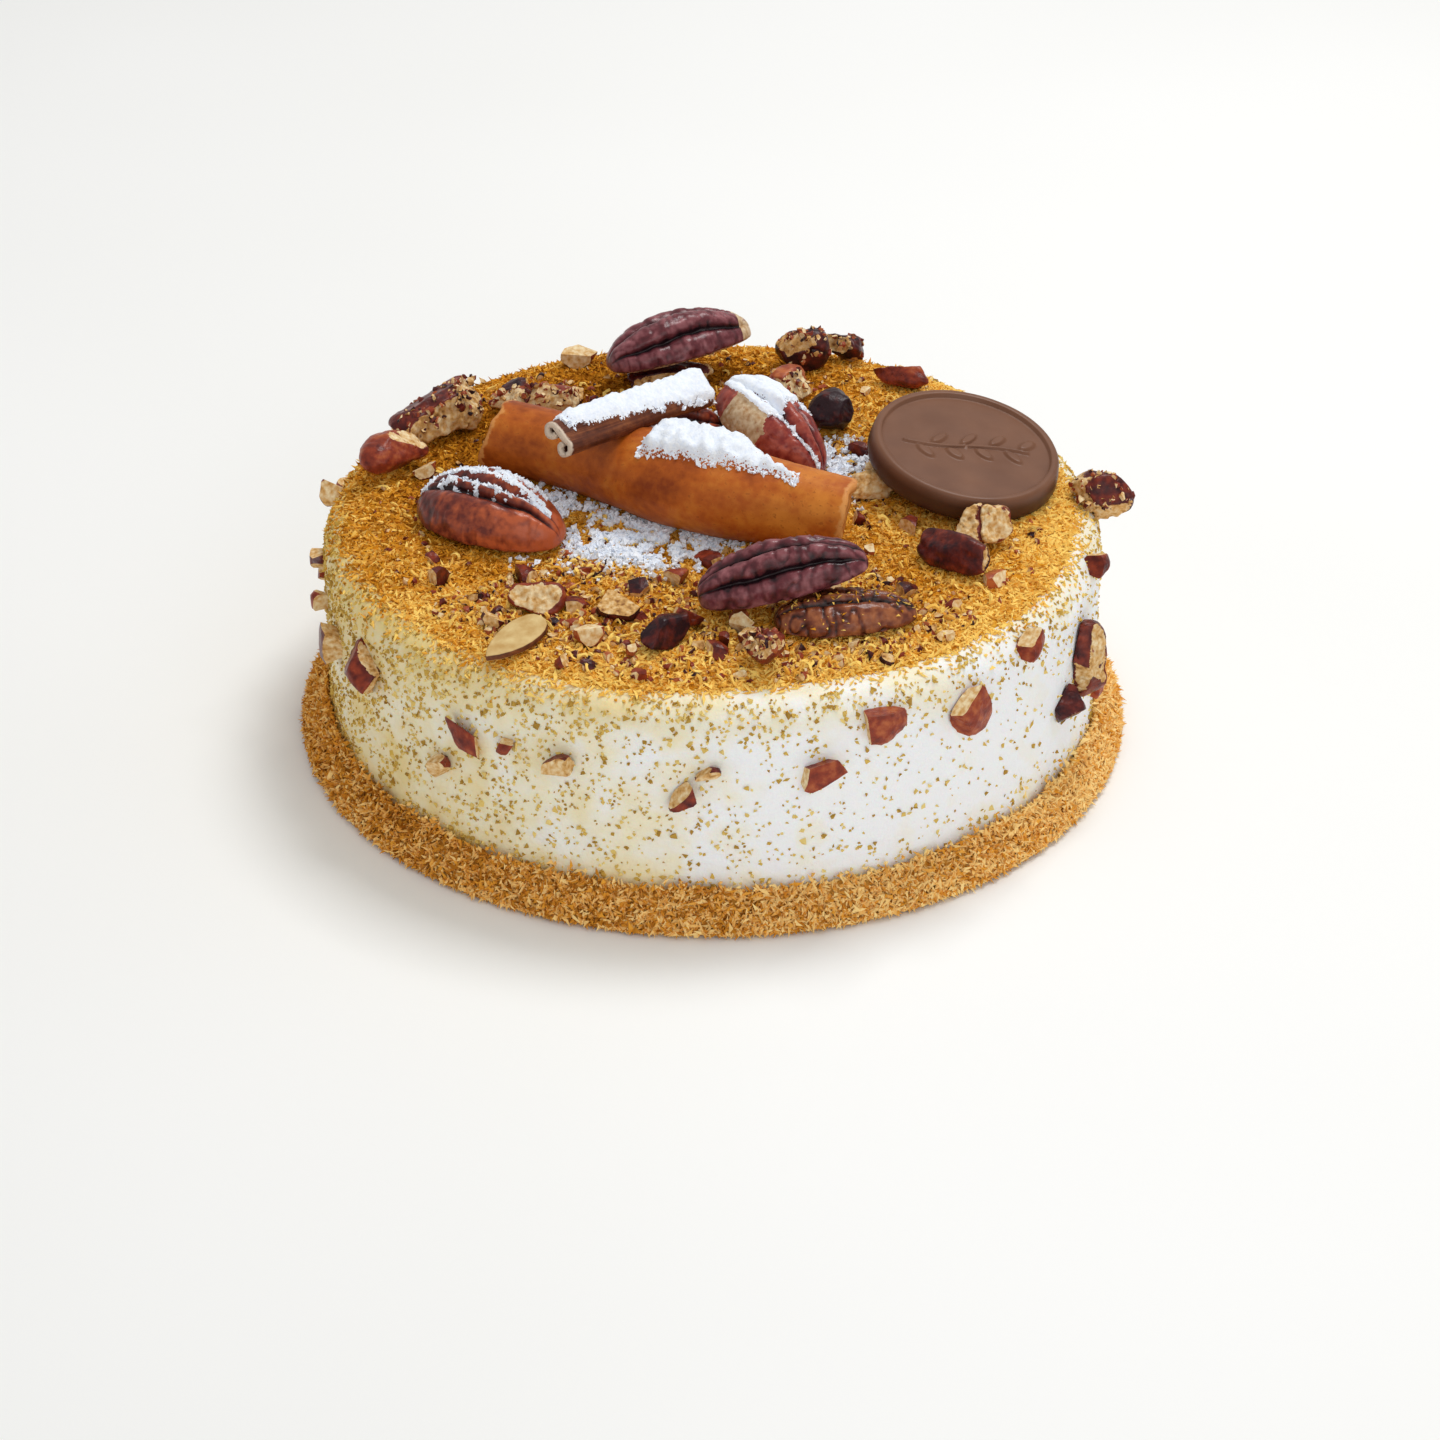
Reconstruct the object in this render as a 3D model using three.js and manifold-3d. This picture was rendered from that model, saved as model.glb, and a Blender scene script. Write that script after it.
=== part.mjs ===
// A round caramel cream cake, 16 cm across, that stands on a foot of coarse crumbs. Golden crumbs
// cover its top, and on them lie two pieces of cinnamon bark, pecan halves, broken nuts and a
// chocolate coin. Smaller nuts stick to its side.
// Millimetres, +Z up. The origin is the centre of the bottom, -Y is the front and +X the right.
import * as THREE from "three";
import { ImprovedNoise } from "three/addons/math/ImprovedNoise.js";
import { mergeVertices } from "three/addons/utils/BufferGeometryUtils.js";
import Module from "manifold-3d";

// ---- Driving dimensions ----
const CAKE_RADIUS = 80; // the cream's side, from a 16 cm ring
const CAKE_HEIGHT = 50; // from the floor to the crumbs on top
const FOOT_RADIUS = 85.6; // the crumb foot at the floor
const FOOT_TOP_RADIUS = 81.1; // the foot's upper edge
const FOOT_HEIGHT = 7.8; // the foot where it leans on the cream
const BASE_LAYER = 5.4; // the crumb layer under the cream
const FOOT_LEFT_RISE = 2.4; // how much higher the foot stands on the left
const SHOULDER = 6.5; // rounding of the cream's upper edge
const CRUMB_LAYER = 1.8; // crumbs on top of the cream
const CRUMB_RIM = 75.5; // where the crumbs on top end
const LEFT_SPILL = 1.5; // how far further they reach over the shoulder on the left
const FRONT_RETREAT = 3; // how far they draw back at the front
const GAP = 0.3; // between pieces that touch
const RELIEF = 0.35; // height of the soft waves in the crumbs and the cream
const RELIEF_WIDTH = 26; // their width
const AROUND = 72; // faces round the cake

const COIN_RADIUS = 20;
const COIN_THICKNESS = 5.8;
const COIN_RIM = 2.2; // width of its raised rim
const COIN_RECESS = 0.7; // depth of its face below the rim

const QUILL_START = new THREE.Vector3(-44.2, 15.1, 0); // left end, on the crumbs
const QUILL_END = new THREE.Vector3(26.8, -20.5, 0); // right end
const QUILL_BARK = 0.19; // bark thickness, as a share of the radius
const QUILL_TURNS = 1.35;

const STICK_FRONT = new THREE.Vector3(-30.9, -14.7, 71.6); // open end, over the large quill
const STICK_BACK = new THREE.Vector3(-2.2, 21, 64.6);
const STICK_CURL = 2.25; // radius of each of its two curls
const STICK_BARK = 0.8;

const noise = new ImprovedNoise();
const radians = THREE.MathUtils.degToRad;
const random = THREE.MathUtils.seededRandom;

// Soft unevenness of the given width, between about -1 and 1.
function waves(x, y, z, width) {
  return 1.6 * noise.noise(x / width + 11.3, y / width + 4.7, z / width + 8.1);
}

// 1 at the given angle of the cake, falling to 0 at half the spread on either side.
function towards(x, y, degrees, spread) {
  const off = Math.acos(
    THREE.MathUtils.clamp(
      (x * Math.cos(radians(degrees)) + y * Math.sin(radians(degrees))) / Math.hypot(x, y, 1e-6),
      -1,
      1,
    ),
  );
  return THREE.MathUtils.smoothstep(1 - off / radians(spread / 2), 0, 1);
}

// ---- Materials ----
const finish = (color, roughness, metalness = 0) =>
  new THREE.MeshStandardMaterial({ color, roughness, metalness });
const footCrumb = finish(0xa9732f, 0.95);
const topCrumb = finish(0xc98f35, 0.95);
const cream = finish(0xf3f0e4, 0.6);
const bark = finish(0xb0622a, 0.7);
const darkBark = finish(0x6b3a22, 0.75);
const pecanSkin = finish(0x54261c, 0.45);
const nutFlesh = finish(0xd9bb8a, 0.7);
const chocolate = finish(0x77503d, 0.4);

// ---- Solids ----
const wasm = await Module();
wasm.setup();

function solid(geometry) {
  const bare = new THREE.BufferGeometry();
  bare.setAttribute("position", geometry.getAttribute("position").clone());
  bare.setIndex(geometry.index);
  const merged = mergeVertices(bare, 1e-3);
  return new wasm.Manifold(
    new wasm.Mesh({
      numProp: 3,
      vertProperties: merged.attributes.position.array,
      triVerts: new Uint32Array(merged.index.array),
    }),
  );
}

function geometryOf(body) {
  const mesh = body.getMesh();
  const geometry = new THREE.BufferGeometry();
  geometry.setAttribute("position", new THREE.BufferAttribute(mesh.vertProperties, 3));
  geometry.setIndex(new THREE.BufferAttribute(mesh.triVerts, 1));
  geometry.computeVertexNormals();
  return geometry;
}

// The solid of a mesh where it stands in the cake.
function placedSolid(mesh) {
  mesh.updateMatrixWorld(true);
  return solid(mesh.geometry.clone().applyMatrix4(mesh.matrixWorld));
}

// Moves each vertex to where the function puts it.
function reshape(geometry, move) {
  const place = geometry.attributes.position;
  const p = new THREE.Vector3();
  for (let i = 0; i < place.count; i++) {
    p.fromBufferAttribute(place, i);
    move(p);
    place.setXYZ(i, p.x, p.y, p.z);
  }
  geometry.computeVertexNormals();
  return geometry;
}

// A profile of [radius, height] pairs turned about Z.
function turned(profile, faces) {
  const points = profile.map(([r, z]) => new THREE.Vector2(r, z));
  return new THREE.LatheGeometry(points, faces).rotateX(Math.PI / 2);
}

// ---- The three layers ----

// Height at which the foot's crumbs end against the cream's side.
function footLine(x, y) {
  return FOOT_HEIGHT + 1.3 * waves(x, y, 0, 17) + FOOT_LEFT_RISE * towards(x, y, 178, 90);
}

// A disc of crumbs that runs under the whole cake, with a rough bank round the outside.
function crumbBase() {
  const LINE = 100; // marks the ring that follows the foot's line
  const profile = [
    [0, 0],
    [FOOT_RADIUS - 1.2, 0],
    [FOOT_RADIUS, 1.3],
    [FOOT_RADIUS - 0.9, 3.4],
    [FOOT_RADIUS - 2.6, 5.6],
    [FOOT_TOP_RADIUS, LINE],
    [CAKE_RADIUS - 0.6, BASE_LAYER],
    [0, BASE_LAYER],
  ];
  return reshape(turned(profile, AROUND), (p) => {
    const onBank = p.z > 0.1 && Math.hypot(p.x, p.y) > CAKE_RADIUS;
    if (!onBank) return;
    const height = p.z === LINE ? FOOT_HEIGHT : p.z;
    const push = 1 + (0.9 * waves(p.x, p.y, height, 5)) / FOOT_RADIUS;
    p.z = (height * footLine(p.x, p.y)) / FOOT_HEIGHT;
    p.x *= push;
    p.y *= push;
  });
}

// The cream, grown by the given amount where a piece is to be kept clear of it.
function creamBody(grown = 0) {
  const LINE = -100;
  const SHOULDER_STEPS = 4;
  const top = CAKE_HEIGHT - CRUMB_LAYER - GAP;
  const side = CAKE_RADIUS + grown;
  const inner = CAKE_RADIUS - SHOULDER;
  const profile = [
    [0, BASE_LAYER + GAP],
    [side - 0.6, BASE_LAYER + GAP],
    [side, LINE],
    [side, 20],
    [side, 31],
  ];
  for (let i = 0; i <= SHOULDER_STEPS; i++) {
    const a = (i / SHOULDER_STEPS) * (Math.PI / 2);
    const reach = SHOULDER + grown;
    profile.push([inner + reach * Math.cos(a), top - SHOULDER + reach * Math.sin(a)]);
  }
  profile.push([0, top + grown]);
  return reshape(turned(profile, AROUND), (p) => {
    if (p.z === LINE) p.z = footLine(p.x, p.y) + GAP;
    const radius = Math.hypot(p.x, p.y);
    if (radius < inner + 0.1 || p.z < BASE_LAYER + 1) return;
    const push = 1 + (RELIEF * waves(p.x, p.y, p.z, RELIEF_WIDTH)) / radius;
    p.x *= push;
    p.y *= push;
  });
}

// Where the crumbs on top end. They spill over the shoulder on the left, and leave it bare at
// the front.
function crumbRim(x, y) {
  const spill = LEFT_SPILL * towards(x, y, 165, 120);
  return CRUMB_RIM + spill - FRONT_RETREAT * towards(x, y, -78, 70) + 0.8 * waves(x, y, 0, 9);
}

// Height of the cream's shoulder at a distance from the middle.
function shoulderHeight(radius) {
  const top = CAKE_HEIGHT - CRUMB_LAYER - GAP;
  const out = THREE.MathUtils.clamp(radius - (CAKE_RADIUS - SHOULDER), 0, SHOULDER);
  return top - SHOULDER + Math.sqrt(SHOULDER * SHOULDER - out * out);
}

// Height of the crumbs at a point of the top: they thin out to half a millimetre at their rim.
function topSurface(x, y) {
  const rim = crumbRim(x, y);
  const radius = Math.hypot(x, y);
  const inward = THREE.MathUtils.smoothstep(rim - radius, 0, 10);
  const edge = shoulderHeight(Math.min(radius, rim)) + GAP + 0.5;
  const flat = CAKE_HEIGHT + RELIEF * waves(x, y, 0, RELIEF_WIDTH);
  return THREE.MathUtils.lerp(edge, flat, inward);
}

function crumbTop() {
  const TOP = 100; // marks the upper rings, whose height comes from the relief
  const under = [0, 0.95, 0.975, 1].map((share) => [share * CRUMB_RIM, 0]);
  const over = [0.992, 0.95, 0.86, 0.7, 0.52, 0.3, 0].map((share) => [share * CRUMB_RIM, TOP]);
  return reshape(turned([...under, ...over], AROUND), (p) => {
    const stretch = crumbRim(p.x, p.y) / CRUMB_RIM;
    p.x *= stretch;
    p.y *= stretch;
    p.z = p.z === TOP ? topSurface(p.x, p.y) : shoulderHeight(Math.hypot(p.x, p.y)) + GAP;
  });
}

// ---- Shapes of the toppings, each with its length along X and its underside down ----

// A flat band of even thickness along a line of points.
function bandShape(line, thickness) {
  const sides = [[], []];
  line.forEach((point, i) => {
    const before = line[Math.max(i - 1, 0)];
    const after = line[Math.min(i + 1, line.length - 1)];
    const along = after.clone().sub(before).normalize();
    const across = new THREE.Vector2(-along.y, along.x).multiplyScalar(thickness / 2);
    sides[0].push(point.clone().add(across));
    sides[1].push(point.clone().sub(across));
  });
  return new THREE.Shape([...sides[0], ...sides[1].reverse()]);
}

// Points along a curl about a centre, from one angle to another, as its radius changes.
function curl(centre, from, to, startRadius, endRadius, steps) {
  return Array.from({ length: steps + 1 }, (_, i) => {
    const a = radians(from + ((to - from) * i) / steps);
    const r = startRadius + ((endRadius - startRadius) * i) / steps;
    return new THREE.Vector2(centre + r * Math.cos(a), r * Math.sin(a));
  });
}

// The large quill bellies out past its middle, more to the front than upwards.
function quillBelly(t) {
  return Math.exp(-(((t - 0.6) / 0.26) ** 2));
}

// One sheet of bark rolled up once and a bit. Its underside is straight and its ends are askew.
function largeQuill() {
  const length = QUILL_START.distanceTo(QUILL_END);
  const STEPS_A_TURN = 16;
  const lipAngle = -20; // the free edge lies low at the back
  const slit = 0.06;
  const inner = 1 - QUILL_BARK / 2 - (QUILL_BARK + slit) * QUILL_TURNS;
  const roll = curl(
    0,
    lipAngle,
    lipAngle - 360 * QUILL_TURNS,
    1 - QUILL_BARK / 2,
    inner,
    Math.round(STEPS_A_TURN * QUILL_TURNS),
  );
  const geometry = new THREE.ExtrudeGeometry(bandShape(roll, QUILL_BARK), {
    depth: length,
    steps: 7,
    bevelEnabled: false,
  });
  const halfWidth = { plain: 7.1, belly: 4 };
  const halfHeight = { plain: 7.2, belly: 1.9 };
  const bellyForward = 3.6;
  const askew = 1.9; // how far an end leans, between its middle and its top
  const slant = 2.6; // how far the right end's front reaches past its middle
  return reshape(geometry, (p) => {
    const belly = quillBelly(p.z / length);
    const atEnd = Math.abs(p.z / length - 0.5) > 0.49;
    const atRight = p.z > length / 2;
    if (atEnd) p.z += askew * p.y - (atRight ? slant * p.x : 0);
    p.x = p.x * (halfWidth.plain + halfWidth.belly * belly) - bellyForward * belly;
    p.y = (p.y + 1) * (halfHeight.plain + halfHeight.belly * belly);
  });
}

// A thin stick whose bark curls in from both sides, so its end shows two small holes.
function smallStick() {
  const length = STICK_FRONT.distanceTo(STICK_BACK);
  const STEPS_A_CURL = 10;
  const inner = 1.4; // radius at the innermost edge of the bark
  const outer = STICK_CURL - STICK_BARK / 2;
  const line = [
    ...curl(-STICK_CURL, 380, 90, inner, outer, STEPS_A_CURL),
    ...curl(STICK_CURL, 90, -200, outer, inner, STEPS_A_CURL),
  ];
  const geometry = new THREE.ExtrudeGeometry(bandShape(line, STICK_BARK), {
    depth: length,
    steps: 3,
    bevelEnabled: false,
  });
  return reshape(geometry, (p) => {
    const bow = 0.5 * Math.sin((Math.PI * p.z) / length);
    const swell = 1 + 0.05 * Math.sin(p.z / 7);
    p.x *= swell;
    p.y += bow;
  });
}

// Half a pecan kernel: two long grooves part its round back into three lobes. The height is that
// of a plain kernel, to which its fuller middle adds a little.
function pecanHalf({ length, width, height, seed }) {
  const AROUND_NUT = 22;
  const ALONG_NUT = 12;
  const back = 0.78; // the round back's share of the height
  const underside = 0.36; // the cut side's bulge, as a share of the back's
  const grooveDepth = 0.26;
  const grooveWidth = 0.17;
  const sag = 0.1; // how far the tips bend down, as a share of the height
  const ball = new THREE.SphereGeometry(1, AROUND_NUT, ALONG_NUT).rotateZ(Math.PI / 2);
  return reshape(ball, (p) => {
    const along = p.x;
    const fuller = 1 + 0.16 * (1 - along * along);
    const taper = 1 - 0.13 * along;
    const fade = Math.sqrt(Math.max(0, 1 - along * along));
    const blunt = Math.max(fade, 0.2) ** -0.3; // keeps the ends broad
    const across = p.y / Math.max(fade, 0.05);
    const grooveAt = 0.42 + 0.05 * Math.sin(5 * along + seed);
    const groove = Math.exp(-(((Math.abs(across) - grooveAt) / grooveWidth) ** 2));
    const wrinkle = waves(along * 9 + seed * 3, p.y * 4, p.z * 4, 2.2);
    p.y *= (width / 2) * fuller * taper * blunt * (1 + 0.05 * wrinkle);
    if (p.z > 0) p.z *= fuller * blunt * (1 - grooveDepth * groove) * (1 + 0.07 * wrinkle);
    else p.z *= underside * (1 + 0.5 * groove);
    p.z = height * (back * p.z - sag * along * along);
    p.x = (along * length) / 2;
  });
}

// A broken piece of nut: a lumpy ball whose sides are cut flat where it snapped.
function nutChunk({ size, seed, detail = 1, flats = 4 }) {
  const lumps = 0.22;
  const flatness = 0.9; // 1 cuts the sides quite flat
  const half = 0.6; // makes up for what the cuts take off
  const cuts = Array.from({ length: flats }, (_, i) => {
    const turn = random(seed * 17 + i) * Math.PI * 2;
    const tilt = random(seed * 17 + i + 50) * 1.6 - 0.8;
    const direction = new THREE.Vector3(
      Math.cos(turn) * Math.cos(tilt),
      Math.sin(turn) * Math.cos(tilt),
      Math.sin(tilt),
    );
    return { direction, depth: 0.45 + 0.3 * random(seed * 17 + i + 90) };
  });
  return reshape(new THREE.IcosahedronGeometry(1, detail), (p) => {
    p.multiplyScalar(1 + lumps * waves(p.x * 3 + seed * 5, p.y * 3, p.z * 3, 2));
    for (const { direction, depth } of cuts) {
      const beyond = p.dot(direction) - depth;
      if (beyond > 0) p.addScaledVector(direction, -flatness * beyond);
    }
    p.multiply(new THREE.Vector3(...size)).multiplyScalar(half);
  });
}

// A leaf-shaped slice of almond, slightly cupped.
function almondSlice({ length, width, thickness }) {
  const leaf = new THREE.Shape();
  leaf.moveTo(-length / 2, 0);
  leaf.bezierCurveTo(-length / 2, -width * 0.62, length * 0.12, -width * 0.66, length / 2, 0);
  leaf.bezierCurveTo(length * 0.12, width * 0.66, -length / 2, width * 0.62, -length / 2, 0);
  const geometry = new THREE.ExtrudeGeometry(leaf, {
    depth: thickness,
    bevelEnabled: false,
    curveSegments: 9,
  });
  return reshape(geometry, (p) => {
    p.z += 0.006 * p.x * p.x;
  });
}

// A coin of chocolate with a raised rim round a plain, sunken face.
function chocolateCoin() {
  const face = COIN_THICKNESS - COIN_RECESS;
  const profile = [
    [0, 0],
    [COIN_RADIUS - 1, 0],
    [COIN_RADIUS - 0.2, 0.8],
    [COIN_RADIUS, 2],
    [COIN_RADIUS - 0.4, COIN_THICKNESS - 0.7],
    [COIN_RADIUS - 1.1, COIN_THICKNESS],
    [COIN_RADIUS - COIN_RIM + 0.3, COIN_THICKNESS],
    [COIN_RADIUS - COIN_RIM - 0.4, face],
    [0, face],
  ];
  return turned(profile, 44);
}

// ---- Placing ----
const cake = new THREE.Group();
const toppings = new THREE.Group();
const sideNuts = new THREE.Group();
cake.add(toppings, sideNuts);

// Lowers or lifts a piece until its lowest point stands just clear of the crumbs on top.
function settle(mesh, lift) {
  mesh.updateMatrixWorld(true);
  const place = mesh.geometry.attributes.position;
  const p = new THREE.Vector3();
  let clearance = Infinity;
  for (let i = 0; i < place.count; i++) {
    p.fromBufferAttribute(place, i).applyMatrix4(mesh.matrixWorld);
    clearance = Math.min(clearance, p.z - topSurface(p.x, p.y));
  }
  mesh.position.z += GAP + 0.1 + lift - clearance;
  mesh.updateMatrixWorld(true);
}

// Lays a piece on the top. heading is its long axis seen from above, rise lifts its far end and
// roll turns it about its length, all in degrees. lift is what lies between it and the crumbs.
function lay(name, geometry, material, { at, heading = 0, rise = 0, roll = 0, lift = 0 }) {
  const mesh = new THREE.Mesh(geometry, material);
  mesh.name = name;
  mesh.rotation.set(radians(roll), radians(-rise), radians(heading), "ZYX");
  mesh.position.set(at[0], at[1], CAKE_HEIGHT);
  settle(mesh, lift);
  toppings.add(mesh);
  return mesh;
}

// Points a long piece from one place to another, with its own Y kept upright, then rolls it.
function stretchBetween(name, geometry, material, { from, to, roll = 0 }) {
  const along = to.clone().sub(from).normalize();
  const side = new THREE.Vector3(0, 0, 1).cross(along).normalize();
  const up = along.clone().cross(side);
  const mesh = new THREE.Mesh(geometry, material);
  mesh.name = name;
  mesh.quaternion.setFromRotationMatrix(new THREE.Matrix4().makeBasis(side, up, along));
  mesh.rotateZ(radians(roll));
  mesh.position.copy(from);
  toppings.add(mesh);
  return mesh;
}

const quill = stretchBetween("cinnamon_quill_large", largeQuill(), bark, {
  from: QUILL_START,
  to: QUILL_END,
});
settle(quill, 0);
stretchBetween("cinnamon_stick_small", smallStick(), darkBark, {
  from: STICK_FRONT,
  to: STICK_BACK,
  roll: 35,
});
lay("chocolate_disc", chocolateCoin(), chocolate, { at: [51.3, 6.6], rise: -10, roll: 7 });

// Pecan halves, placed by their middles.
const PECANS = [
  {
    name: "pecan_left",
    size: { length: 33, width: 16.5, height: 9, seed: 1 },
    place: { at: [-44.6, -14.6], heading: -31, roll: 8 },
  },
  {
    name: "pecan_front_lower",
    size: { length: 28, width: 11.5, height: 5.4, seed: 2 },
    place: { at: [26, -51.6], heading: 7, roll: 4 },
  },
  {
    name: "pecan_front_upper",
    size: { length: 34, width: 12, height: 8, seed: 3 },
    place: { at: [13.6, -46.4], heading: 2, rise: 13, roll: 8, lift: 2.7 },
  },
  {
    name: "pecan_back",
    size: { length: 33, width: 14, height: 8, seed: 4 },
    place: { at: [-7.4, 54.6], heading: 24, rise: 4, roll: -8, lift: 4.4 },
  },
  {
    name: "pecan_under_centre",
    size: { length: 25, width: 15, height: 9.3, seed: 6 },
    place: { at: [-8.9, 20], heading: 8 },
  },
  {
    name: "pecan_centre",
    size: { length: 29, width: 14, height: 8.5, seed: 5 },
    place: { at: [12.4, 17.6], heading: -45, rise: -21, roll: 6 },
  },
];
for (const { name, size, place } of PECANS)
  lay(name, pecanHalf(size), pecanSkin, place);

// Broken nuts on the top, each large enough to be a piece of its own. size is the length,
// width and height.
const DARK = pecanSkin;
const PALE = nutFlesh;
const TOP_CHUNKS = [
  ["pecan_broken_left", [20, 14, 8.5], DARK, { at: [-57.8, 30.6], heading: 58 }],
  ["pecan_broken_left_low", [13, 10, 8], DARK, { at: [-66.2, 12.8], heading: 40 }],
  ["nut_round", [9.8, 9.6, 7.6], DARK, { at: [25.9, 31.4] }],
  ["nut_back_right", [11, 9, 8], PALE, { at: [20.1, 60], heading: 20 }],
  ["nut_back_right_outer", [8.5, 6, 5.5], DARK, { at: [29.8, 64.4], heading: -30 }],
  ["nut_flake_back", [13, 5, 4.5], PALE, { at: [40.6, 50.6], heading: -37 }],
  ["nut_back_middle", [10, 8, 6], PALE, { at: [16.4, 45], heading: -60 }],
  ["nut_strip_back_left", [22, 5.5, 4.6], PALE, { at: [-35.4, 39.4], heading: 4 }],
  ["pecan_sliver_right", [20, 6.5, 6], DARK, { at: [47.4, -28], heading: -42 }],
  ["nut_block_right", [9.5, 8, 7], PALE, { at: [54.6, -19.4], heading: 25 }],
  ["nut_under_disc", [11, 8, 4.8], PALE, { at: [33.6, 1.4], heading: 60 }],
  ["nut_under_back", [17, 10, 3.5], DARK, { at: [-10.6, 52.6], heading: 14 }],
  ["almond_front", [10, 8, 4.6], PALE, { at: [-33.8, -45.4], heading: -25 }],
  ["pecan_sliver_front", [15.5, 6, 5], DARK, { at: [-9.2, -59.4], heading: 60 }],
  ["nut_front_right", [9, 7.5, 6], DARK, { at: [9.8, -65.2], heading: -50 }],
];
TOP_CHUNKS.forEach(([name, size, material, place], i) => {
  const detail = size[0] > 16 ? 2 : 1;
  lay(name, nutChunk({ size, seed: i + 3, detail }), material, place);
});
lay("almond_slice_front", almondSlice({ length: 16, width: 8.5, thickness: 1.5 }), PALE, {
  at: [-38.2, -58],
  heading: -131,
  rise: -8,
});

// Nuts that stick to the side or lie over the rim are cut back where they meet the cake.
const widening = 1 + (2 * GAP) / CRUMB_RIM;
const wideCrumbs = crumbTop().scale(widening, widening, 1);
let keepOut = solid(creamBody(GAP));
for (const shift of [-GAP, 0, GAP]) {
  keepOut = keepOut.add(solid(wideCrumbs.clone().translate(0, 0, shift)));
}
const SIDE_PIECES = [
  ["nut_rim_right", [12.5, 9.5, 8.5], DARK, { angle: 2, radius: 79.5, z: 48.7, roll: 10 }],
  ["nut_side_left", [9, 13.5, 10], DARK, { angle: -149, radius: 80.6, z: 34.5, roll: -20 }],
  ["nut_side_right", [9, 10.5, 17], PALE, { angle: -22.5, radius: 80.4, z: 30, roll: 12 }],
  ["nut_side_right_low", [7, 9, 9], DARK, { angle: -27.5, radius: 80.6, z: 23, roll: 30 }],
  ["nut_side_back", [8, 12, 10], PALE, { angle: 118, radius: 80.6, z: 33, roll: 20 }],
  ["nut_side_back_right", [8, 10, 13], DARK, { angle: 52, radius: 80.6, z: 28, roll: 50 }],
];
SIDE_PIECES.forEach(([name, size, material, { angle, radius, z, roll }], i) => {
  const a = radians(angle);
  const whole = new THREE.Mesh(nutChunk({ size, seed: i + 31 }), material);
  whole.rotation.set(radians(roll), 0, a, "ZYX");
  whole.position.set(radius * Math.cos(a), radius * Math.sin(a), z);
  const trimmed = new THREE.Mesh(geometryOf(placedSolid(whole).subtract(keepOut)), material);
  trimmed.name = name;
  sideNuts.add(trimmed);
});

// ---- Small nuts, fused to the layer that they stick to ----

// Small nuts on the cream: angle round the cake, height, length, width and turn on the side.
const CREAM_BITS = [
  [-14, 45, 6, 5, 20],
  [-38.7, 45.2, 7, 5, 70],
  [-51.7, 38.5, 10, 6.5, 65],
  [-66.3, 42.7, 9, 7, 20],
  [-74.7, 33, 9, 5.5, 10],
  [-90.6, 34.5, 6.5, 5, 40],
  [-93.4, 29.6, 8, 6, 60],
  [-111.4, 33.8, 7, 6, 0],
  [-119, 34.6, 5.5, 4.5, 30],
  [-126.5, 34, 9.5, 5, -40],
  [-131, 23.6, 8, 6, 70],
  [-161.5, 31.6, 9, 6, 60],
  [-170, 34.6, 7, 5.5, 30],
  [-176, 39, 6, 5, 0],
  [172, 46, 7, 5, 10],
  [-12, 15, 7, 5, 0],
  [12, 36, 8, 6, 40],
  [28, 27, 6.5, 5, 10],
  [41, 40, 8, 5.5, -30],
  [67, 34, 7, 6, 60],
  [84, 41, 9, 6, 20],
  [96, 29, 7.5, 5.5, -20],
  [108, 37, 6, 5, 10],
  [134, 41, 8, 5.5, 50],
  [147, 29, 7, 6, 0],
  [162, 39, 8.5, 6, 35],
  [176, 30, 6.5, 5, -15],
];
function creamWithBits() {
  let body = solid(creamBody());
  CREAM_BITS.forEach(([angle, z, length, width, tilt], i) => {
    const detail = length > 8.5 ? 1 : 0;
    const bit = nutChunk({ size: [width, length, width * 1.1], seed: i + 61, detail });
    bit.rotateX(radians(tilt)).rotateZ(radians(angle));
    const a = radians(angle);
    bit.translate((CAKE_RADIUS + 0.5) * Math.cos(a), (CAKE_RADIUS + 0.5) * Math.sin(a), z);
    body = body.add(solid(bit));
  });
  return geometryOf(body);
}

// Small nuts on the crumbs: first those of a known place, then loose scatter round them.
const TOP_BITS = [
  [-53.9, -34.3, 6.5],
  [-59.8, 10.6, 6],
  [-46.1, 38.8, 6],
  [-38, 39.6, 7],
  [-28.6, 40, 6],
  [-42, 46.6, 6.5],
  [-29.7, 62.4, 8],
  [-37.6, -33.6, 6.5],
  [-28.5, -41.7, 5.5],
  [-23.9, -58.6, 6.5],
  [-17, -48.4, 6.5],
  [-7, -34.6, 6],
  [0.6, -62.4, 5.5],
  [7.2, -57.4, 5.5],
  [38.4, -39, 5.5],
  [42.2, -47.3, 6],
  [55.8, -34.6, 5.5],
  [40.6, -12.6, 6],
  [34, 11.4, 6],
  [30.6, 19, 6],
  [68.8, -9.6, 6],
];
const FRONT_SCATTER = 16; // loose bits in a band across the front
const LOOSE_SCATTER = 18; // and all over

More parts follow.
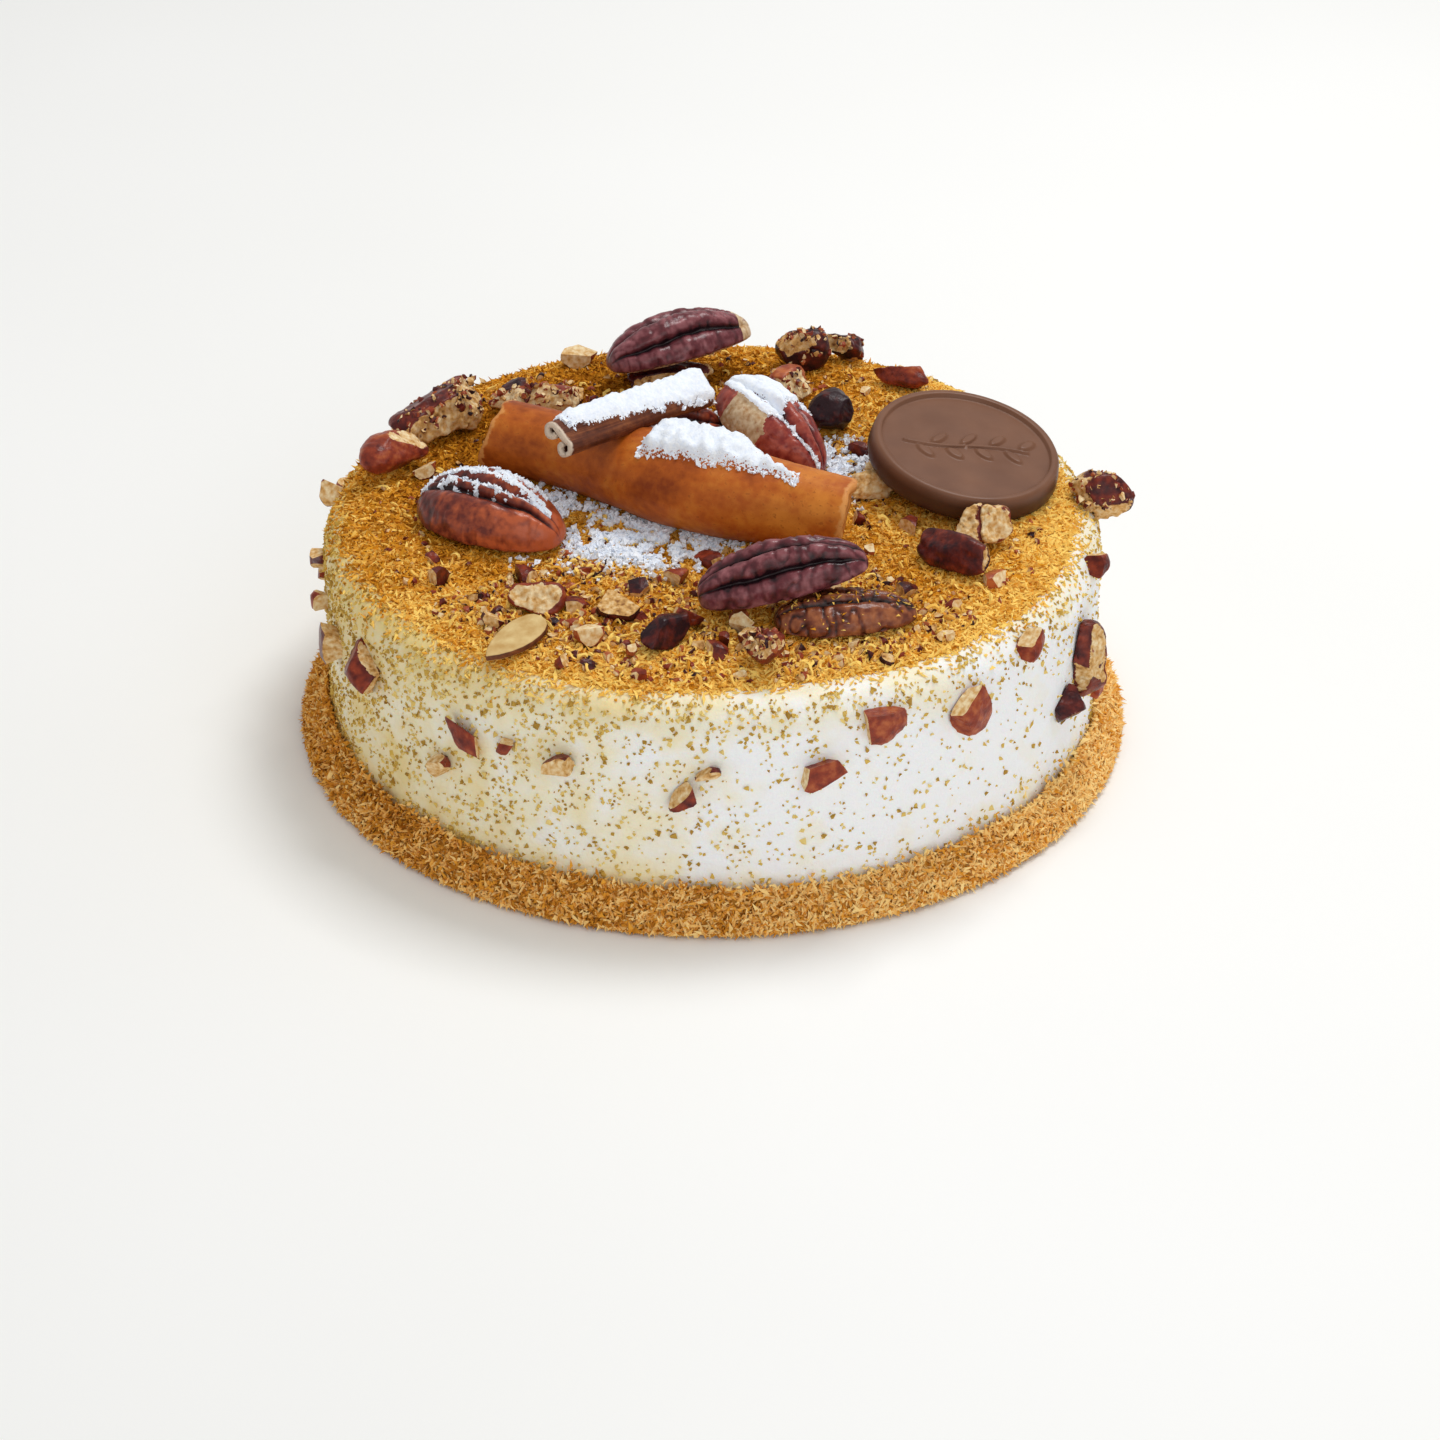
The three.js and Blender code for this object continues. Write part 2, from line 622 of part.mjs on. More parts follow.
function crumbsWithBits() {
  let body = solid(crumbTop());
  const pieces = [...toppings.children, ...sideNuts.children].map(placedSolid);
  const scattered = Array.from({ length: FRONT_SCATTER + LOOSE_SCATTER }, (_, i) => {
    const front = i < FRONT_SCATTER;
    const angle = front ? radians(-130 + 80 * random(700 + i)) : random(700 + i) * Math.PI * 2;
    const radius = front ? 46 + 22 * random(800 + i) : 64 * Math.sqrt(random(800 + i));
    return [radius * Math.cos(angle), radius * Math.sin(angle), 3.4 + 2.4 * random(900 + i)];
  });
  [...TOP_BITS, ...scattered].forEach(([x, y, length], i) => {
    const size = [length, length * 0.72, length * 0.62];
    const bit = nutChunk({ size, seed: i + 101, detail: 0, flats: 3 });
    bit.rotateZ(random(i + 500) * Math.PI * 2);
    const wide = bit.clone().scale(1.3, 1.3, 1.3);
    const z = topSurface(x, y) + 0.2 * length;
    bit.translate(x, y, z);
    wide.translate(x, y, z);
    const room = solid(wide);
    if (pieces.every((other) => other.intersect(room).isEmpty())) body = body.add(solid(bit));
  });
  return geometryOf(body);
}

for (const [name, geometry, material] of [
  ["crumb_base", crumbBase(), footCrumb],
  ["cream_body", creamWithBits(), cream],
  ["crumb_top", crumbsWithBits(), topCrumb],
]) {
  const mesh = new THREE.Mesh(geometry, material);
  mesh.name = name;
  cake.add(mesh);
}

export default cake;
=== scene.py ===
import math

import bmesh
import bpy
import numpy as np
from mathutils import Matrix, Vector, noise
from mathutils.bvhtree import BVHTree


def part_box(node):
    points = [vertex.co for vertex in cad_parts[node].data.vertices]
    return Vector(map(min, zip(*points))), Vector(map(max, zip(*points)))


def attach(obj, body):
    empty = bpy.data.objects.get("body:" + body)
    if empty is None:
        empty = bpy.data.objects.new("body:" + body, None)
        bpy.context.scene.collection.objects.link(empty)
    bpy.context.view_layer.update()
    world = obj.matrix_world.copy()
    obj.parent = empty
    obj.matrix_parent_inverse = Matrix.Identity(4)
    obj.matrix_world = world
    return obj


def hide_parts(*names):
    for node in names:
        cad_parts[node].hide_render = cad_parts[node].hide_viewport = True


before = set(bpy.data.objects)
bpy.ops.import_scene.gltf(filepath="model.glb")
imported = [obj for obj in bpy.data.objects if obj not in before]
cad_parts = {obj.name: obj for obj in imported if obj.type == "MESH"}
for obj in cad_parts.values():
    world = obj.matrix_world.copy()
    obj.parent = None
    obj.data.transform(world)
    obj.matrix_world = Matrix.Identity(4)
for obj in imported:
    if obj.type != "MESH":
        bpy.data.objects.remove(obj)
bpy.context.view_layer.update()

MM = 0.001

# ---- Sizes ----
CAKE_RADIUS = 80
CAKE_TOP = 50
CREAM_TOP = 47.9
CREAM_BOTTOM = 5.7
SHOULDER = 6.5
UNDER_CREAM = 79.4
CRUMB_RIM = 75.5
LEFT_SPILL = 1.5
FRONT_RETREAT = 3
FOOT_REACH = 85.6
FOOT_PROFILE = [(84.4, 0.0), (FOOT_REACH, 1.3), (84.7, 3.4), (83.0, 5.6), (81.1, 7.8)]
FOOT_TOP = 7.8
FOOT_INNER_TOP = 5.4
FOOT_LEFT_RISE = 2.4
FOOT_UNEVEN = 1.1
COIN_RADIUS = 20
COIN_THICKNESS = 5.8
COIN_RIM = 2.2
COIN_RECESS = 0.9
SPRIG_SIZE = 1.35
QUILL_START = Vector((-44.2, 15.1, 0))
QUILL_END = Vector((26.8, -20.5, 0))
QUILL_LENGTH = (QUILL_END - QUILL_START).length
QUILL_WIDTH = 7.1
QUILL_BARK = 1.4
QUILL_WALL = 1.77 / QUILL_WIDTH
QUILL_TURNS = 1.35
QUILL_SLANT = 2.6
STICK_FRONT = Vector((-30.9, -14.7, 71.6))
STICK_BACK = Vector((-2.2, 21, 64.6))
STICK_CURL = 2.25
STICK_BARK = 0.8
STICK_ROLL = 35


# ---- Small sums ----
def eased(x):
    """0 to 1 with soft ends."""
    x = np.clip(x, 0, 1)
    return x * x * (3 - 2 * x)


def towards(angle, centre, spread):
    """1 at an angle of the cake, falling to 0 at half the spread on either side, in degrees."""
    off = np.abs((angle - centre + 180) % 360 - 180)
    return eased(1 - off / (spread / 2))


def wobble(p, width, seed=0.0):
    """Smooth unevenness of a width, between about -1 and 1."""
    return noise.noise(Vector(p) / width + Vector((7.3, 3.1, 5.7)) * (seed + 1))


def rough(p, width, seed=0.0):
    return noise.fractal(Vector(p) / width + Vector((3.7, 9.1, 1.3)) * (seed + 1), 1.0, 2.1, 3)


def bump_at(x, middle, width):
    """A smooth hump round a middle."""
    return math.exp(-(((x - middle) / width) ** 2))


def angle_of(x, y):
    return np.degrees(np.arctan2(y, x))


def ring_point(radius, angle, z):
    a = np.radians(angle)
    return np.stack([radius * np.cos(a), radius * np.sin(a), z], axis=-1)


def cream_radius(z):
    """Radius of the cream's straight side and of its rounded shoulder."""
    up = np.clip(z - (CREAM_TOP - SHOULDER), 0, SHOULDER)
    return CAKE_RADIUS - SHOULDER + np.sqrt(SHOULDER**2 - up**2)


def cream_height(radius):
    """Height of the cream's top and shoulder at a distance from the middle."""
    out = np.clip(radius - (CAKE_RADIUS - SHOULDER), 0, SHOULDER - 0.01)
    return CREAM_TOP - SHOULDER + np.sqrt(SHOULDER**2 - out**2)


def crumb_rim(angle):
    """Where the crumbs on top end: over the shoulder at the left, short of it at the front."""
    return CRUMB_RIM + LEFT_SPILL * towards(angle, 165, 120) - FRONT_RETREAT * towards(angle, -78, 70)


def foot_rise(angle):
    """How much higher than its profile the foot's bank of crumbs stands."""
    return FOOT_LEFT_RISE * towards(angle, 178, 90)


# ---- Finishes ----
def colour(code):
    """A screen colour such as c98f35 as the renderer's own red, green, blue and alpha."""
    channels = [int(code[i : i + 2], 16) / 255 for i in (0, 2, 4)]
    return [c / 12.92 if c < 0.04 else ((c + 0.055) / 1.055) ** 2.4 for c in channels] + [1]


class Finish:
    """A procedural material, built up a node at a time. Widths are in millimetres."""

    def __init__(self, name, **constants):
        self.material = bpy.data.materials.new(name)
        self.material.use_nodes = True
        self.tree = self.material.node_tree
        self.shader = self.tree.nodes["Principled BSDF"]
        for socket, value in constants.items():
            self.shader.inputs[socket.replace("_", " ")].default_value = value
        self.place = self.node("TexCoord").outputs["Object"]

    def node(self, kind, inputs=(), **settings):
        node = self.tree.nodes.new("ShaderNode" + kind)
        for key, value in settings.items():
            setattr(node, key, value)
        for key, value in dict(inputs).items():
            self.feed(node.inputs[key], value)
        return node

    def feed(self, socket, value):
        if isinstance(value, bpy.types.NodeSocket):
            self.tree.links.new(value, socket)
        else:
            socket.default_value = value

    def attribute(self, name, output="Fac"):
        return self.node("Attribute", attribute_name=name).outputs[output]

    def clouds(self, width, detail=3.0):
        inputs = {"Vector": self.place, "Scale": 1 / (width * MM), "Detail": detail}
        return self.node("TexNoise", inputs).outputs["Fac"]

    def cells(self, width, output="Distance"):
        return self.node("TexVoronoi", {"Vector": self.place, "Scale": 1 / (width * MM)}).outputs[output]

    def lines(self, widths, detail=4.0):
        """Noise drawn out along a piece, by its own grain attribute."""
        scale = [1 / w for w in widths]
        grain = self.node("Mapping", {"Vector": self.attribute("grain", "Vector"), "Scale": scale})
        inputs = {"Vector": grain.outputs["Vector"], "Scale": 1.0, "Detail": detail}
        return self.node("TexNoise", inputs).outputs["Fac"]

    def axis(self, name):
        return self.node("SeparateXYZ", {"Vector": self.place}).outputs[name]

    def between(self, value, low, high, start=0.0, end=1.0):
        """start below low, end above high, and even in between."""
        inputs = {"Value": value, "From Min": low, "From Max": high, "To Min": start, "To Max": end}
        return self.node("MapRange", inputs, clamp=True).outputs["Result"]

    def spread(self, value, size):
        """Noise from 0 to 1 as noise from minus the size to the size."""
        return self.between(value, 0.3, 0.7, -size, size)

    def sum(self, *values):
        total = values[0]
        for value in values[1:]:
            total = self.node("Math", {0: total, 1: value}, operation="ADD").outputs[0]
        return total

    def times(self, a, b):
        return self.node("Math", {0: a, 1: b}, operation="MULTIPLY").outputs[0]

    def ramp(self, value, *stops):
        """Colours by value: stops are (position, colour code)."""
        node = self.node("ValToRGB", {"Fac": value})
        elements = node.color_ramp.elements
        while len(elements) < len(stops):
            elements.new(0.5)
        for element, (position, code) in zip(elements, stops):
            element.position = position
            element.color = colour(code)
        return node.outputs["Color"]

    def mix(self, amount, a, b):
        return self.node("Mix", {0: amount, 6: a, 7: b}, data_type="RGBA").outputs[2]

    def paint(self, value, bump=None, depth=0.2, strength=0.6, roughness=None):
        self.feed(self.shader.inputs["Base Color"], value)
        if bump is not None:
            relief = self.node("Bump", {"Height": bump, "Distance": depth * MM, "Strength": strength})
            self.feed(self.shader.inputs["Normal"], relief.outputs["Normal"])
        if roughness is not None:
            self.feed(self.shader.inputs["Roughness"], roughness)
        return self.material


def crumb_finish(name, dark, middle, light, rim_tone_and_painted_light_weight=0.0, painted_right_light=0.0, packed=False):
    """Dry crumbs, each of its own tone, in lighter and darker patches. Painted light lightens the cake's
    right, and a piece's edge attribute adds rim tone with painted light and shade. packed crumbs are a bed,
    seen between the loose ones."""
    f = Finish(name, Roughness=0.9 if packed else 0.85, Specular_IOR_Level=0.1)
    tone = f.between(f.cells(0.9, "Color"), 0.0, 1.0, 0.1, 0.8) if packed else f.attribute("tone")
    # Painted light: the cake's right is lighter, as if lit from there.
    right = f.between(f.axis("X"), -50 * MM, 70 * MM, 0.0, painted_right_light)
    # Rim tone, with painted light on the right and painted shade at the left back, from the piece's edge
    # attribute.
    edge = f.times(f.attribute("edge"), rim_tone_and_painted_light_weight)
    shade = f.sum(tone, f.spread(f.clouds(14, 2), 0.14), right, edge)
    base = f.ramp(shade, (0.05, dark), (0.5, middle), (0.95, light))
    if packed:
        return f.paint(base, f.cells(0.9), 0.5, 0.9)
    return f.paint(base, f.clouds(0.5, 2), 0.12, 0.5)


def cream_finish():
    """White cream, yellower at the left and under the crumbs."""
    f = Finish("cream", Roughness=0.55, Subsurface_Weight=0.12, Subsurface_Scale=2 * MM)
    left = f.between(f.axis("X"), 30 * MM, -70 * MM, 0.0, 0.75)
    high = f.between(f.axis("Z"), 38 * MM, 48 * MM, 0.0, 0.35)
    low = f.between(f.axis("Z"), 15 * MM, 8 * MM, 0.0, 0.2)
    patches = f.between(f.clouds(9, 3), 0.35, 0.65, -0.2, 0.2)
    warmth = f.sum(left, high, low, patches)
    base = f.ramp(warmth, (0.1, "f3f4f5"), (0.5, "f2e9cb"), (0.95, "ebd28c"))
    lumps = f.sum(f.clouds(2.5, 3), f.times(f.clouds(0.6, 2), 0.3))
    return f.paint(base, lumps, 0.5, 0.6)


SUGAR_WHITE = ((0.25, "e6eefc"), (0.75, "fafdff"))


def dusted(f, base, bump):
    """Lays icing sugar over a finish, where the piece's own sugar attribute says."""
    amount = f.sum(f.attribute("sugar"), f.between(f.clouds(0.45, 2), 0.25, 0.75, -0.3, 0.3))
    cover = f.between(amount, 0.45, 0.53)
    white = f.ramp(f.clouds(0.8, 2), *SUGAR_WHITE)
    height = f.sum(f.times(bump, 0.6), f.times(cover, f.clouds(0.35, 2)))
    return f.mix(cover, base, white), height, cover


def bark_finish(name, dark, middle, light, worn, streaks, painted_light_to_right=0.0):
    """Dry bark with fine lines along it and paler, worn rims. Its last number is how much painted light
    lightens its right, with half as much painted shade at its left.
    """
    f = Finish(name, Specular_IOR_Level=0.22)
    lines = f.lines((18, 0.9, 1))
    blotches = f.lines((13, 6, 1), 5)
    flaws = f.clouds(1.6, 4)
    # Painted light on the right and painted shade on the left, as if lit from the right.
    right = f.between(f.axis("X"), -15 * MM, 15 * MM, -painted_light_to_right / 2, painted_light_to_right)
    shade = f.sum(f.times(lines, streaks), f.times(blotches, 0.75 - streaks), f.times(flaws, 0.25), right)
    base = f.ramp(shade, (0.36, dark), (0.5, middle), (0.66, light))
    rim = f.sum(f.attribute("worn"), f.spread(flaws, 0.4))
    base = f.mix(f.between(rim, 0.4, 0.7, 0.0, 0.75), base, colour(worn))
    base = f.mix(f.between(f.clouds(0.8, 2), 0.6, 0.72, 0.0, 0.5), base, colour(dark))
    skin, height, cover = dusted(f, base, f.sum(f.times(lines, 2 * streaks), flaws))
    return f.paint(skin, height, 0.3, 0.5, f.between(cover, 0, 1, 0.5, 0.9))


def pecan_finish(name, dark, middle, light):
    """Thin glossy skin over a wrinkled kernel, with painted shade in the creases and painted highlights on
    the lobes.
    """
    f = Finish(name, Specular_IOR_Level=0.32)
    # The kernel's attribute here holds painted shade in grooves and creases, painted highlights on the lobes,
    # and fine tone.
    shade = f.sum(f.attribute("painted_shade_highlight_and_tone"), f.spread(f.clouds(2.2, 4), 0.22))
    base = f.ramp(shade, (0.1, dark), (0.55, middle), (0.95, light))
    pale = f.sum(f.attribute("bare"), f.spread(f.clouds(1.4), 0.3))
    flesh = f.ramp(f.clouds(1.1), (0.3, "b08455"), (0.7, "e0caa6"))
    base = f.mix(f.between(pale, 0.42, 0.56), base, flesh)
    skin, height, cover = dusted(f, base, f.clouds(0.9, 4))
    return f.paint(skin, height, 0.22, 0.6, f.between(cover, 0, 1, 0.28, 0.9))


def nut_finish():
    """Broken nuts: red-brown to dark purple skin outside, pale crumbly flesh where they broke."""
    f = Finish("broken_nut", Specular_IOR_Level=0.25)
    skin = f.between(f.sum(f.attribute("skin"), f.spread(f.clouds(1.3, 4), 0.35)), 0.42, 0.58)
    tone = f.sum(f.attribute("tone"), f.spread(f.clouds(1.9, 4), 0.25))
    outside = f.ramp(tone, (0.0, "280e14"), (0.3, "5a1e18"), (0.65, "8f3820"), (1.0, "ba6638"))
    grain = f.sum(f.times(f.attribute("tone"), 0.4), f.between(f.clouds(1.1, 4), 0.3, 0.7, 0.0, 0.6))
    inside = f.ramp(grain, (0.05, "7d4a22"), (0.35, "d3a25e"), (0.85, "f6e4ba"))
    base, height, _ = dusted(f, f.mix(skin, inside, outside), f.clouds(0.8, 4))
    return f.paint(base, height, 0.3, 0.8, f.between(skin, 0, 1, 0.75, 0.33))


def almond_finish():
    f = Finish("almond", Roughness=0.6, Specular_IOR_Level=0.35)
    face = f.ramp(f.clouds(3, 3), (0.3, "c39a58"), (0.7, "e0c488"))
    skin = f.ramp(f.clouds(1.5, 3), (0.3, "4f2716"), (0.7, "7d4524"))
    return f.paint(f.mix(f.attribute("skin"), face, skin), f.clouds(0.8, 3), 0.15, 0.5)


def chocolate_finish():
    """Milk chocolate, with painted shade darkening round its side."""
    f = Finish("milk_chocolate", Specular_IOR_Level=0.25)
    base = f.ramp(f.clouds(9, 3), (0.3, "6d4732"), (0.7, "7b533c"))
    # Painted shade: the side attribute mixes in dark brown round the coin's side.
    base = f.mix(f.attribute("side"), base, colour("3c2116"))
    return f.paint(base, f.clouds(3.5, 4), 0.06, 0.35, f.between(f.clouds(5, 3), 0.3, 0.7, 0.34, 0.48))


def sugar_finish():
    f = Finish("icing_sugar", Roughness=0.9, Specular_IOR_Level=0.3)
    return f.paint(f.ramp(f.clouds(1.1, 3), *SUGAR_WHITE), f.clouds(0.5, 3), 0.2, 0.5)


# The last numbers weight painted light: first the edge attribute's rim tone with painted light and shade,
# then painted light on the cake's right.
FOOT_BED = crumb_finish("foot_bed", "8a4e0e", "c9862c", "e8b254", 0.0, 0.3, packed=True)
FOOT_CRUMB = crumb_finish("foot_crumb", "9c5a0e", "e8a238", "ffdc92", 0.0, 0.35)
TOP_BED = crumb_finish("crumb_bed", "945208", "d08a1c", "e8ae3c", 0.3, packed=True)
TOP_CRUMB = crumb_finish("golden_crumb", "9a5c08", "e39c28", "fed874", 0.45)
CREAM = cream_finish()
FLECK = crumb_finish("cream_fleck", "ab8338", "d6b155", "ecd285")
# The quill's last number is painted light towards its right.
QUILL = bark_finish("cinnamon_bark", "86380a", "b45a18", "d27f2c", "dd9a55", 0.12, 0.07)
STICK = bark_finish("dark_cinnamon_bark", "34140a", "62301a", "92552f", "e8d6c0", 0.3)
# Each pecan's dark colour is painted shade in its creases, and its light colour a painted highlight on its
# lobes.
PECAN_RED = pecan_finish("pecan_red", "2a0c0e", "722e22", "bb5c36")
PECAN_CRIMSON = pecan_finish("pecan_crimson", "2c080a", "842c26", "b85c48")
PECAN_PURPLE = pecan_finish("pecan_purple", "1e0c11", "632b31", "9c6064")
PECAN_BROWN = pecan_finish("pecan_brown", "2a100a", "6e3420", "a8653c")
NUT = nut_finish()
ALMOND = almond_finish()
CHOCOLATE = chocolate_finish()
SUGAR = sugar_finish()


# ---- Making pieces ----
def piece(name, bm, material, nodes=()):
    """Turns a shape in millimetres into a piece of the cake that stands for the named solids."""
    bmesh.ops.scale(bm, vec=(MM, MM, MM), verts=bm.verts)
    mesh = bpy.data.meshes.new(name)
    bm.to_mesh(mesh)
    bm.free()
    return finished(name, mesh, material, nodes)


def placed(name, data):
    """Puts a mesh, a light or a camera into the scene."""
    made = bpy.data.objects.new(name, data)
    bpy.context.scene.collection.objects.link(made)
    return made


def finished(name, mesh, material, nodes=(), smooth=True):
    mesh.materials.append(material)
    mesh.polygons.foreach_set("use_smooth", [smooth] * len(mesh.polygons))
    made = placed(name, mesh)
    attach(made, "root")
    if nodes:
        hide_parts(*nodes)
    return made


def solid_of(node):
    """A copy of a solid in millimetres, with its loose triangles joined."""
    bm = bmesh.new()
    bm.from_mesh(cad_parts[node].data)
    bmesh.ops.scale(bm, vec=(1 / MM,) * 3, verts=bm.verts)
    bmesh.ops.remove_doubles(bm, verts=bm.verts, dist=0.002)
    return bm


def spun(profile, steps):
    """A closed profile of (radius, height) points that starts and ends on the axis, turned round it."""
    bm = bmesh.new()
    line = [bm.verts.new((r, 0, z)) for r, z in profile]
    geom = line + [bm.edges.new(pair) for pair in zip(line, line[1:])]
    turn = {"axis": (0, 0, 1), "cent": (0, 0, 0), "angle": math.tau}
    bmesh.ops.spin(bm, geom=geom, steps=steps, use_merge=True, **turn)
    bmesh.ops.remove_doubles(bm, verts=bm.verts, dist=0.001)
    bmesh.ops.recalc_face_normals(bm, faces=bm.faces)
    return bm


def points_on(start, end, count):
    """Evenly spaced points from start towards end, without the end."""
    return [tuple(p) for p in np.linspace(start, end, count, endpoint=False)]


def cut_off(bm, place, way):
    """Cuts away what lies beyond a plane, and gives the open rim's edges."""
    geom = [*bm.verts, *bm.edges, *bm.faces]
    cut = bmesh.ops.bisect_plane(bm, geom=geom, plane_co=place, plane_no=way, clear_outer=True)
    return [e for e in cut["geom_cut"] if isinstance(e, bmesh.types.BMEdge)]


def islands(bm, proud):
    """Groups of joined vertices that stand proud of a layer, as arrays of places."""
    left = dict.fromkeys(v for v in bm.verts if proud(v.co))
    groups = []
    while left:
        grown = [left.popitem()[0]]
        for v in grown:
            for near in [e.other_vert(v) for e in v.link_edges]:
                if near in left:
                    del left[near]
                    grown.append(near)
        if len(grown) > 2:
            groups.append(np.array([v.co for v in grown]))
    return groups


# ---- The three layers ----
def bank(share):
    """Radius and height on the foot's bank: 0 is at the floor and 1 where it leans on the cream."""
    steps = np.linspace(0, 1, len(FOOT_PROFILE))
    return [np.interp(share, steps, column) for column in zip(*FOOT_PROFILE)]


def foot_point(angle, share):
    radius, height = bank(share)
    return ring_point(radius, angle, height * (1 + foot_rise(angle) / FOOT_TOP))


def foot_uneven(x, y):
    return FOOT_UNEVEN * wobble((x, y, 0), 13)


def foot():
    outside = [bank(share) for share in np.linspace(0, 1, 13)]
    bm = spun([(0, 0), *outside, (UNDER_CREAM, FOOT_INNER_TOP), (0, FOOT_INNER_TOP)], 560)
    for v in bm.verts:
        radius = v.co.xy.length
        if radius < CAKE_RADIUS or v.co.z < 0.01:
            continue
        rise = foot_rise(angle_of(v.co.x, v.co.y)) + foot_uneven(v.co.x, v.co.y)
        v.co.z *= 1 + rise / FOOT_TOP
        push = 0.55 * rough(v.co, 2.4) + 0.3 * wobble(v.co, 0.9) - 0.4
        v.co.xy *= 1 + min(push, FOOT_REACH - radius) / radius
    return bm


def cream():
    """The cream's side, softly uneven as it left the ring."""
    straight = CREAM_TOP - SHOULDER
    side = points_on((CAKE_RADIUS, CREAM_BOTTOM), (CAKE_RADIUS, straight), 44)
    arc = [(p.x, straight + p.y) for p in curl(CAKE_RADIUS - SHOULDER, 0, 90, SHOULDER, SHOULDER, 11)]
    bottom = [(0, CREAM_BOTTOM), (UNDER_CREAM, CREAM_BOTTOM)]
    bm = spun([*bottom, *side, *arc, (40, CREAM_TOP), (0, CREAM_TOP)], 420)
    for v in bm.verts:
        if v.co.xy.length > 72 and v.co.z > CREAM_BOTTOM + 0.1:
            push = 0.3 * wobble(v.co, 24) + 0.25 * rough(v.co, 6, 1) + 0.13 * rough(v.co, 1.8, 2)
            v.co += v.normal * push
    return bm


def crumb_bed(height):
    """The bed of crumbs on top. height gives that of the solid that it stands for."""
    under = [(share * CRUMB_RIM, 0.0) for share in (0, 0.94, 0.97, 1)]
    over = [(share * CRUMB_RIM, 100.0) for share in np.linspace(1, 0, 96)]
    bm = spun([*under, *over], 520)
    # The edge attribute holds rim tone with painted light and shade, for the crumb finish.
    edge = bm.verts.layers.float.new("edge")
    for v in bm.verts:
        reach = v.co.xy.length
        top = v.co.z > 1
        ragged = wobble((v.co.x, v.co.y, 0), 5, 3) + 0.6 * wobble((v.co.x, v.co.y, 0), 1.9, 6)
        v.co.xy *= (crumb_rim(angle_of(v.co.x, v.co.y)) + ragged - 1.4) / CRUMB_RIM
        v[edge] = rim_tone_and_painted_light(v.co.x, v.co.y)
        if not top:
            v.co.z = cream_height(v.co.xy.length) - 0.3
            continue
        thick = eased((CRUMB_RIM - reach) / 5)
        relief = 0.5 * abs(rough(v.co, 3.2, 4)) + 0.28 * wobble((v.co.x, v.co.y, 0), 1.4, 5)
        v.co.z = height(v.co.x, v.co.y) + (relief - 0.1) * (0.35 + 0.65 * thick) - 0.6 * (1 - thick)
    return bm


def rim_tone_and_painted_light(x, y):
    """The crumbs' rim tone and painted light: lighter crumbs at the rim, painted light on the cake's right
    and painted shade at the left back.
    """
    return 0.75 * eased((np.hypot(x, y) - 52) / 24) + 0.1 * eased((x - 5) / 55) - 0.9 * eased((y - x) / 60)


# ---- Small shapes to strew ----
def shape_arrays(bm, skin=None):
    """A shape's vertices, triangles and, for each triangle, how much skin it shows."""
    bmesh.ops.recalc_face_normals(bm, faces=bm.faces)
    bmesh.ops.triangulate(bm, faces=bm.faces)
    bm.verts.index_update()
    verts = np.array([v.co for v in bm.verts])
    tris = np.array([[v.index for v in f.verts] for f in bm.faces])
    shown = np.array([f[skin] for f in bm.faces]) if skin else np.zeros(len(tris))
    bm.free()
    return verts, tris, shown


def flake_shape():
    """A short crumb one millimetre across, with six faces."""
    bm = bmesh.new()
    bmesh.ops.create_uvsphere(bm, u_segments=3, v_segments=2, radius=0.5)
    return shape_arrays(bm)


def shred_shape(bend):
    """A long, bent crumb with six faces, its length along Z."""
    bm = bmesh.new()
    bmesh.ops.create_uvsphere(bm, u_segments=3, v_segments=2, radius=0.5)
    for v in bm.verts:
        tip = abs(v.co.z) > 0.4
        v.co = Vector((v.co.x * 0.62 + bend * tip, v.co.y * 0.5, v.co.z * 1.9))
    return shape_arrays(bm)


def broken_shape(seed, detail, skin_up):
    """A piece of nut a millimetre across. Its skin is up over snapped sides, every other one flesh, or
    a snapped face is up inside a rim of skin."""
    rng = np.random.default_rng(seed)
    bm = bmesh.new()
    bmesh.ops.create_icosphere(bm, subdivisions=detail, radius=0.62)
    for v in bm.verts:
        v.co *= 1 + 0.2 * wobble(v.co, 0.4, seed)
        v.co.z *= 0.6 if skin_up else 0.75
    skin = bm.faces.layers.float.new("skin")
    for f in bm.faces:
        f[skin] = 1
    planes = []
    if not skin_up:
        planes.append((Vector((rng.normal() * 0.2, rng.normal() * 0.2, 1)).normalized(), 0.08))
    turn = rng.uniform(0, math.tau)
    sides = rng.integers(3, 6) if skin_up else 2
    for i in range(sides):
        a = turn + i * math.tau / sides + rng.normal() * 0.35
        out = Vector((math.cos(a), math.sin(a), rng.normal() * 0.25)).normalized()
        planes.append((out, rng.uniform(0.22, 0.42)))
    for i, (out, reach) in enumerate(planes):
        rim = cut_off(bm, out * reach, out)
        for f in bmesh.ops.contextual_create(bm, geom=rim)["faces"]:
            f[skin] = float(skin_up and i % 2)
    low, high = (Vector(end(v.co[i] for v in bm.verts) for i in range(3)) for end in (min, max))
    for v in bm.verts:
        v.co = Vector((v.co[i] - (low[i] + high[i]) / 2) / (high[i] - low[i]) for i in range(3))
    return shape_arrays(bm, skin)


def curl_shape():
    """A thin curl of crumb, a millimetre across."""
    bm = bmesh.new()
    ring = bmesh.ops.create_circle(bm, segments=4, radius=0.13)["verts"]
    bmesh.ops.translate(bm, verts=ring, vec=(0.37, 0, 0))
    geom = [*bm.verts, *bm.edges]
    bmesh.ops.spin(bm, geom=geom, axis=(0, 1, 0.15), cent=(0, 0, 0), angle=3.9, steps=6)
    bmesh.ops.holes_fill(bm, edges=bm.edges, sides=4)
    return shape_arrays(bm)


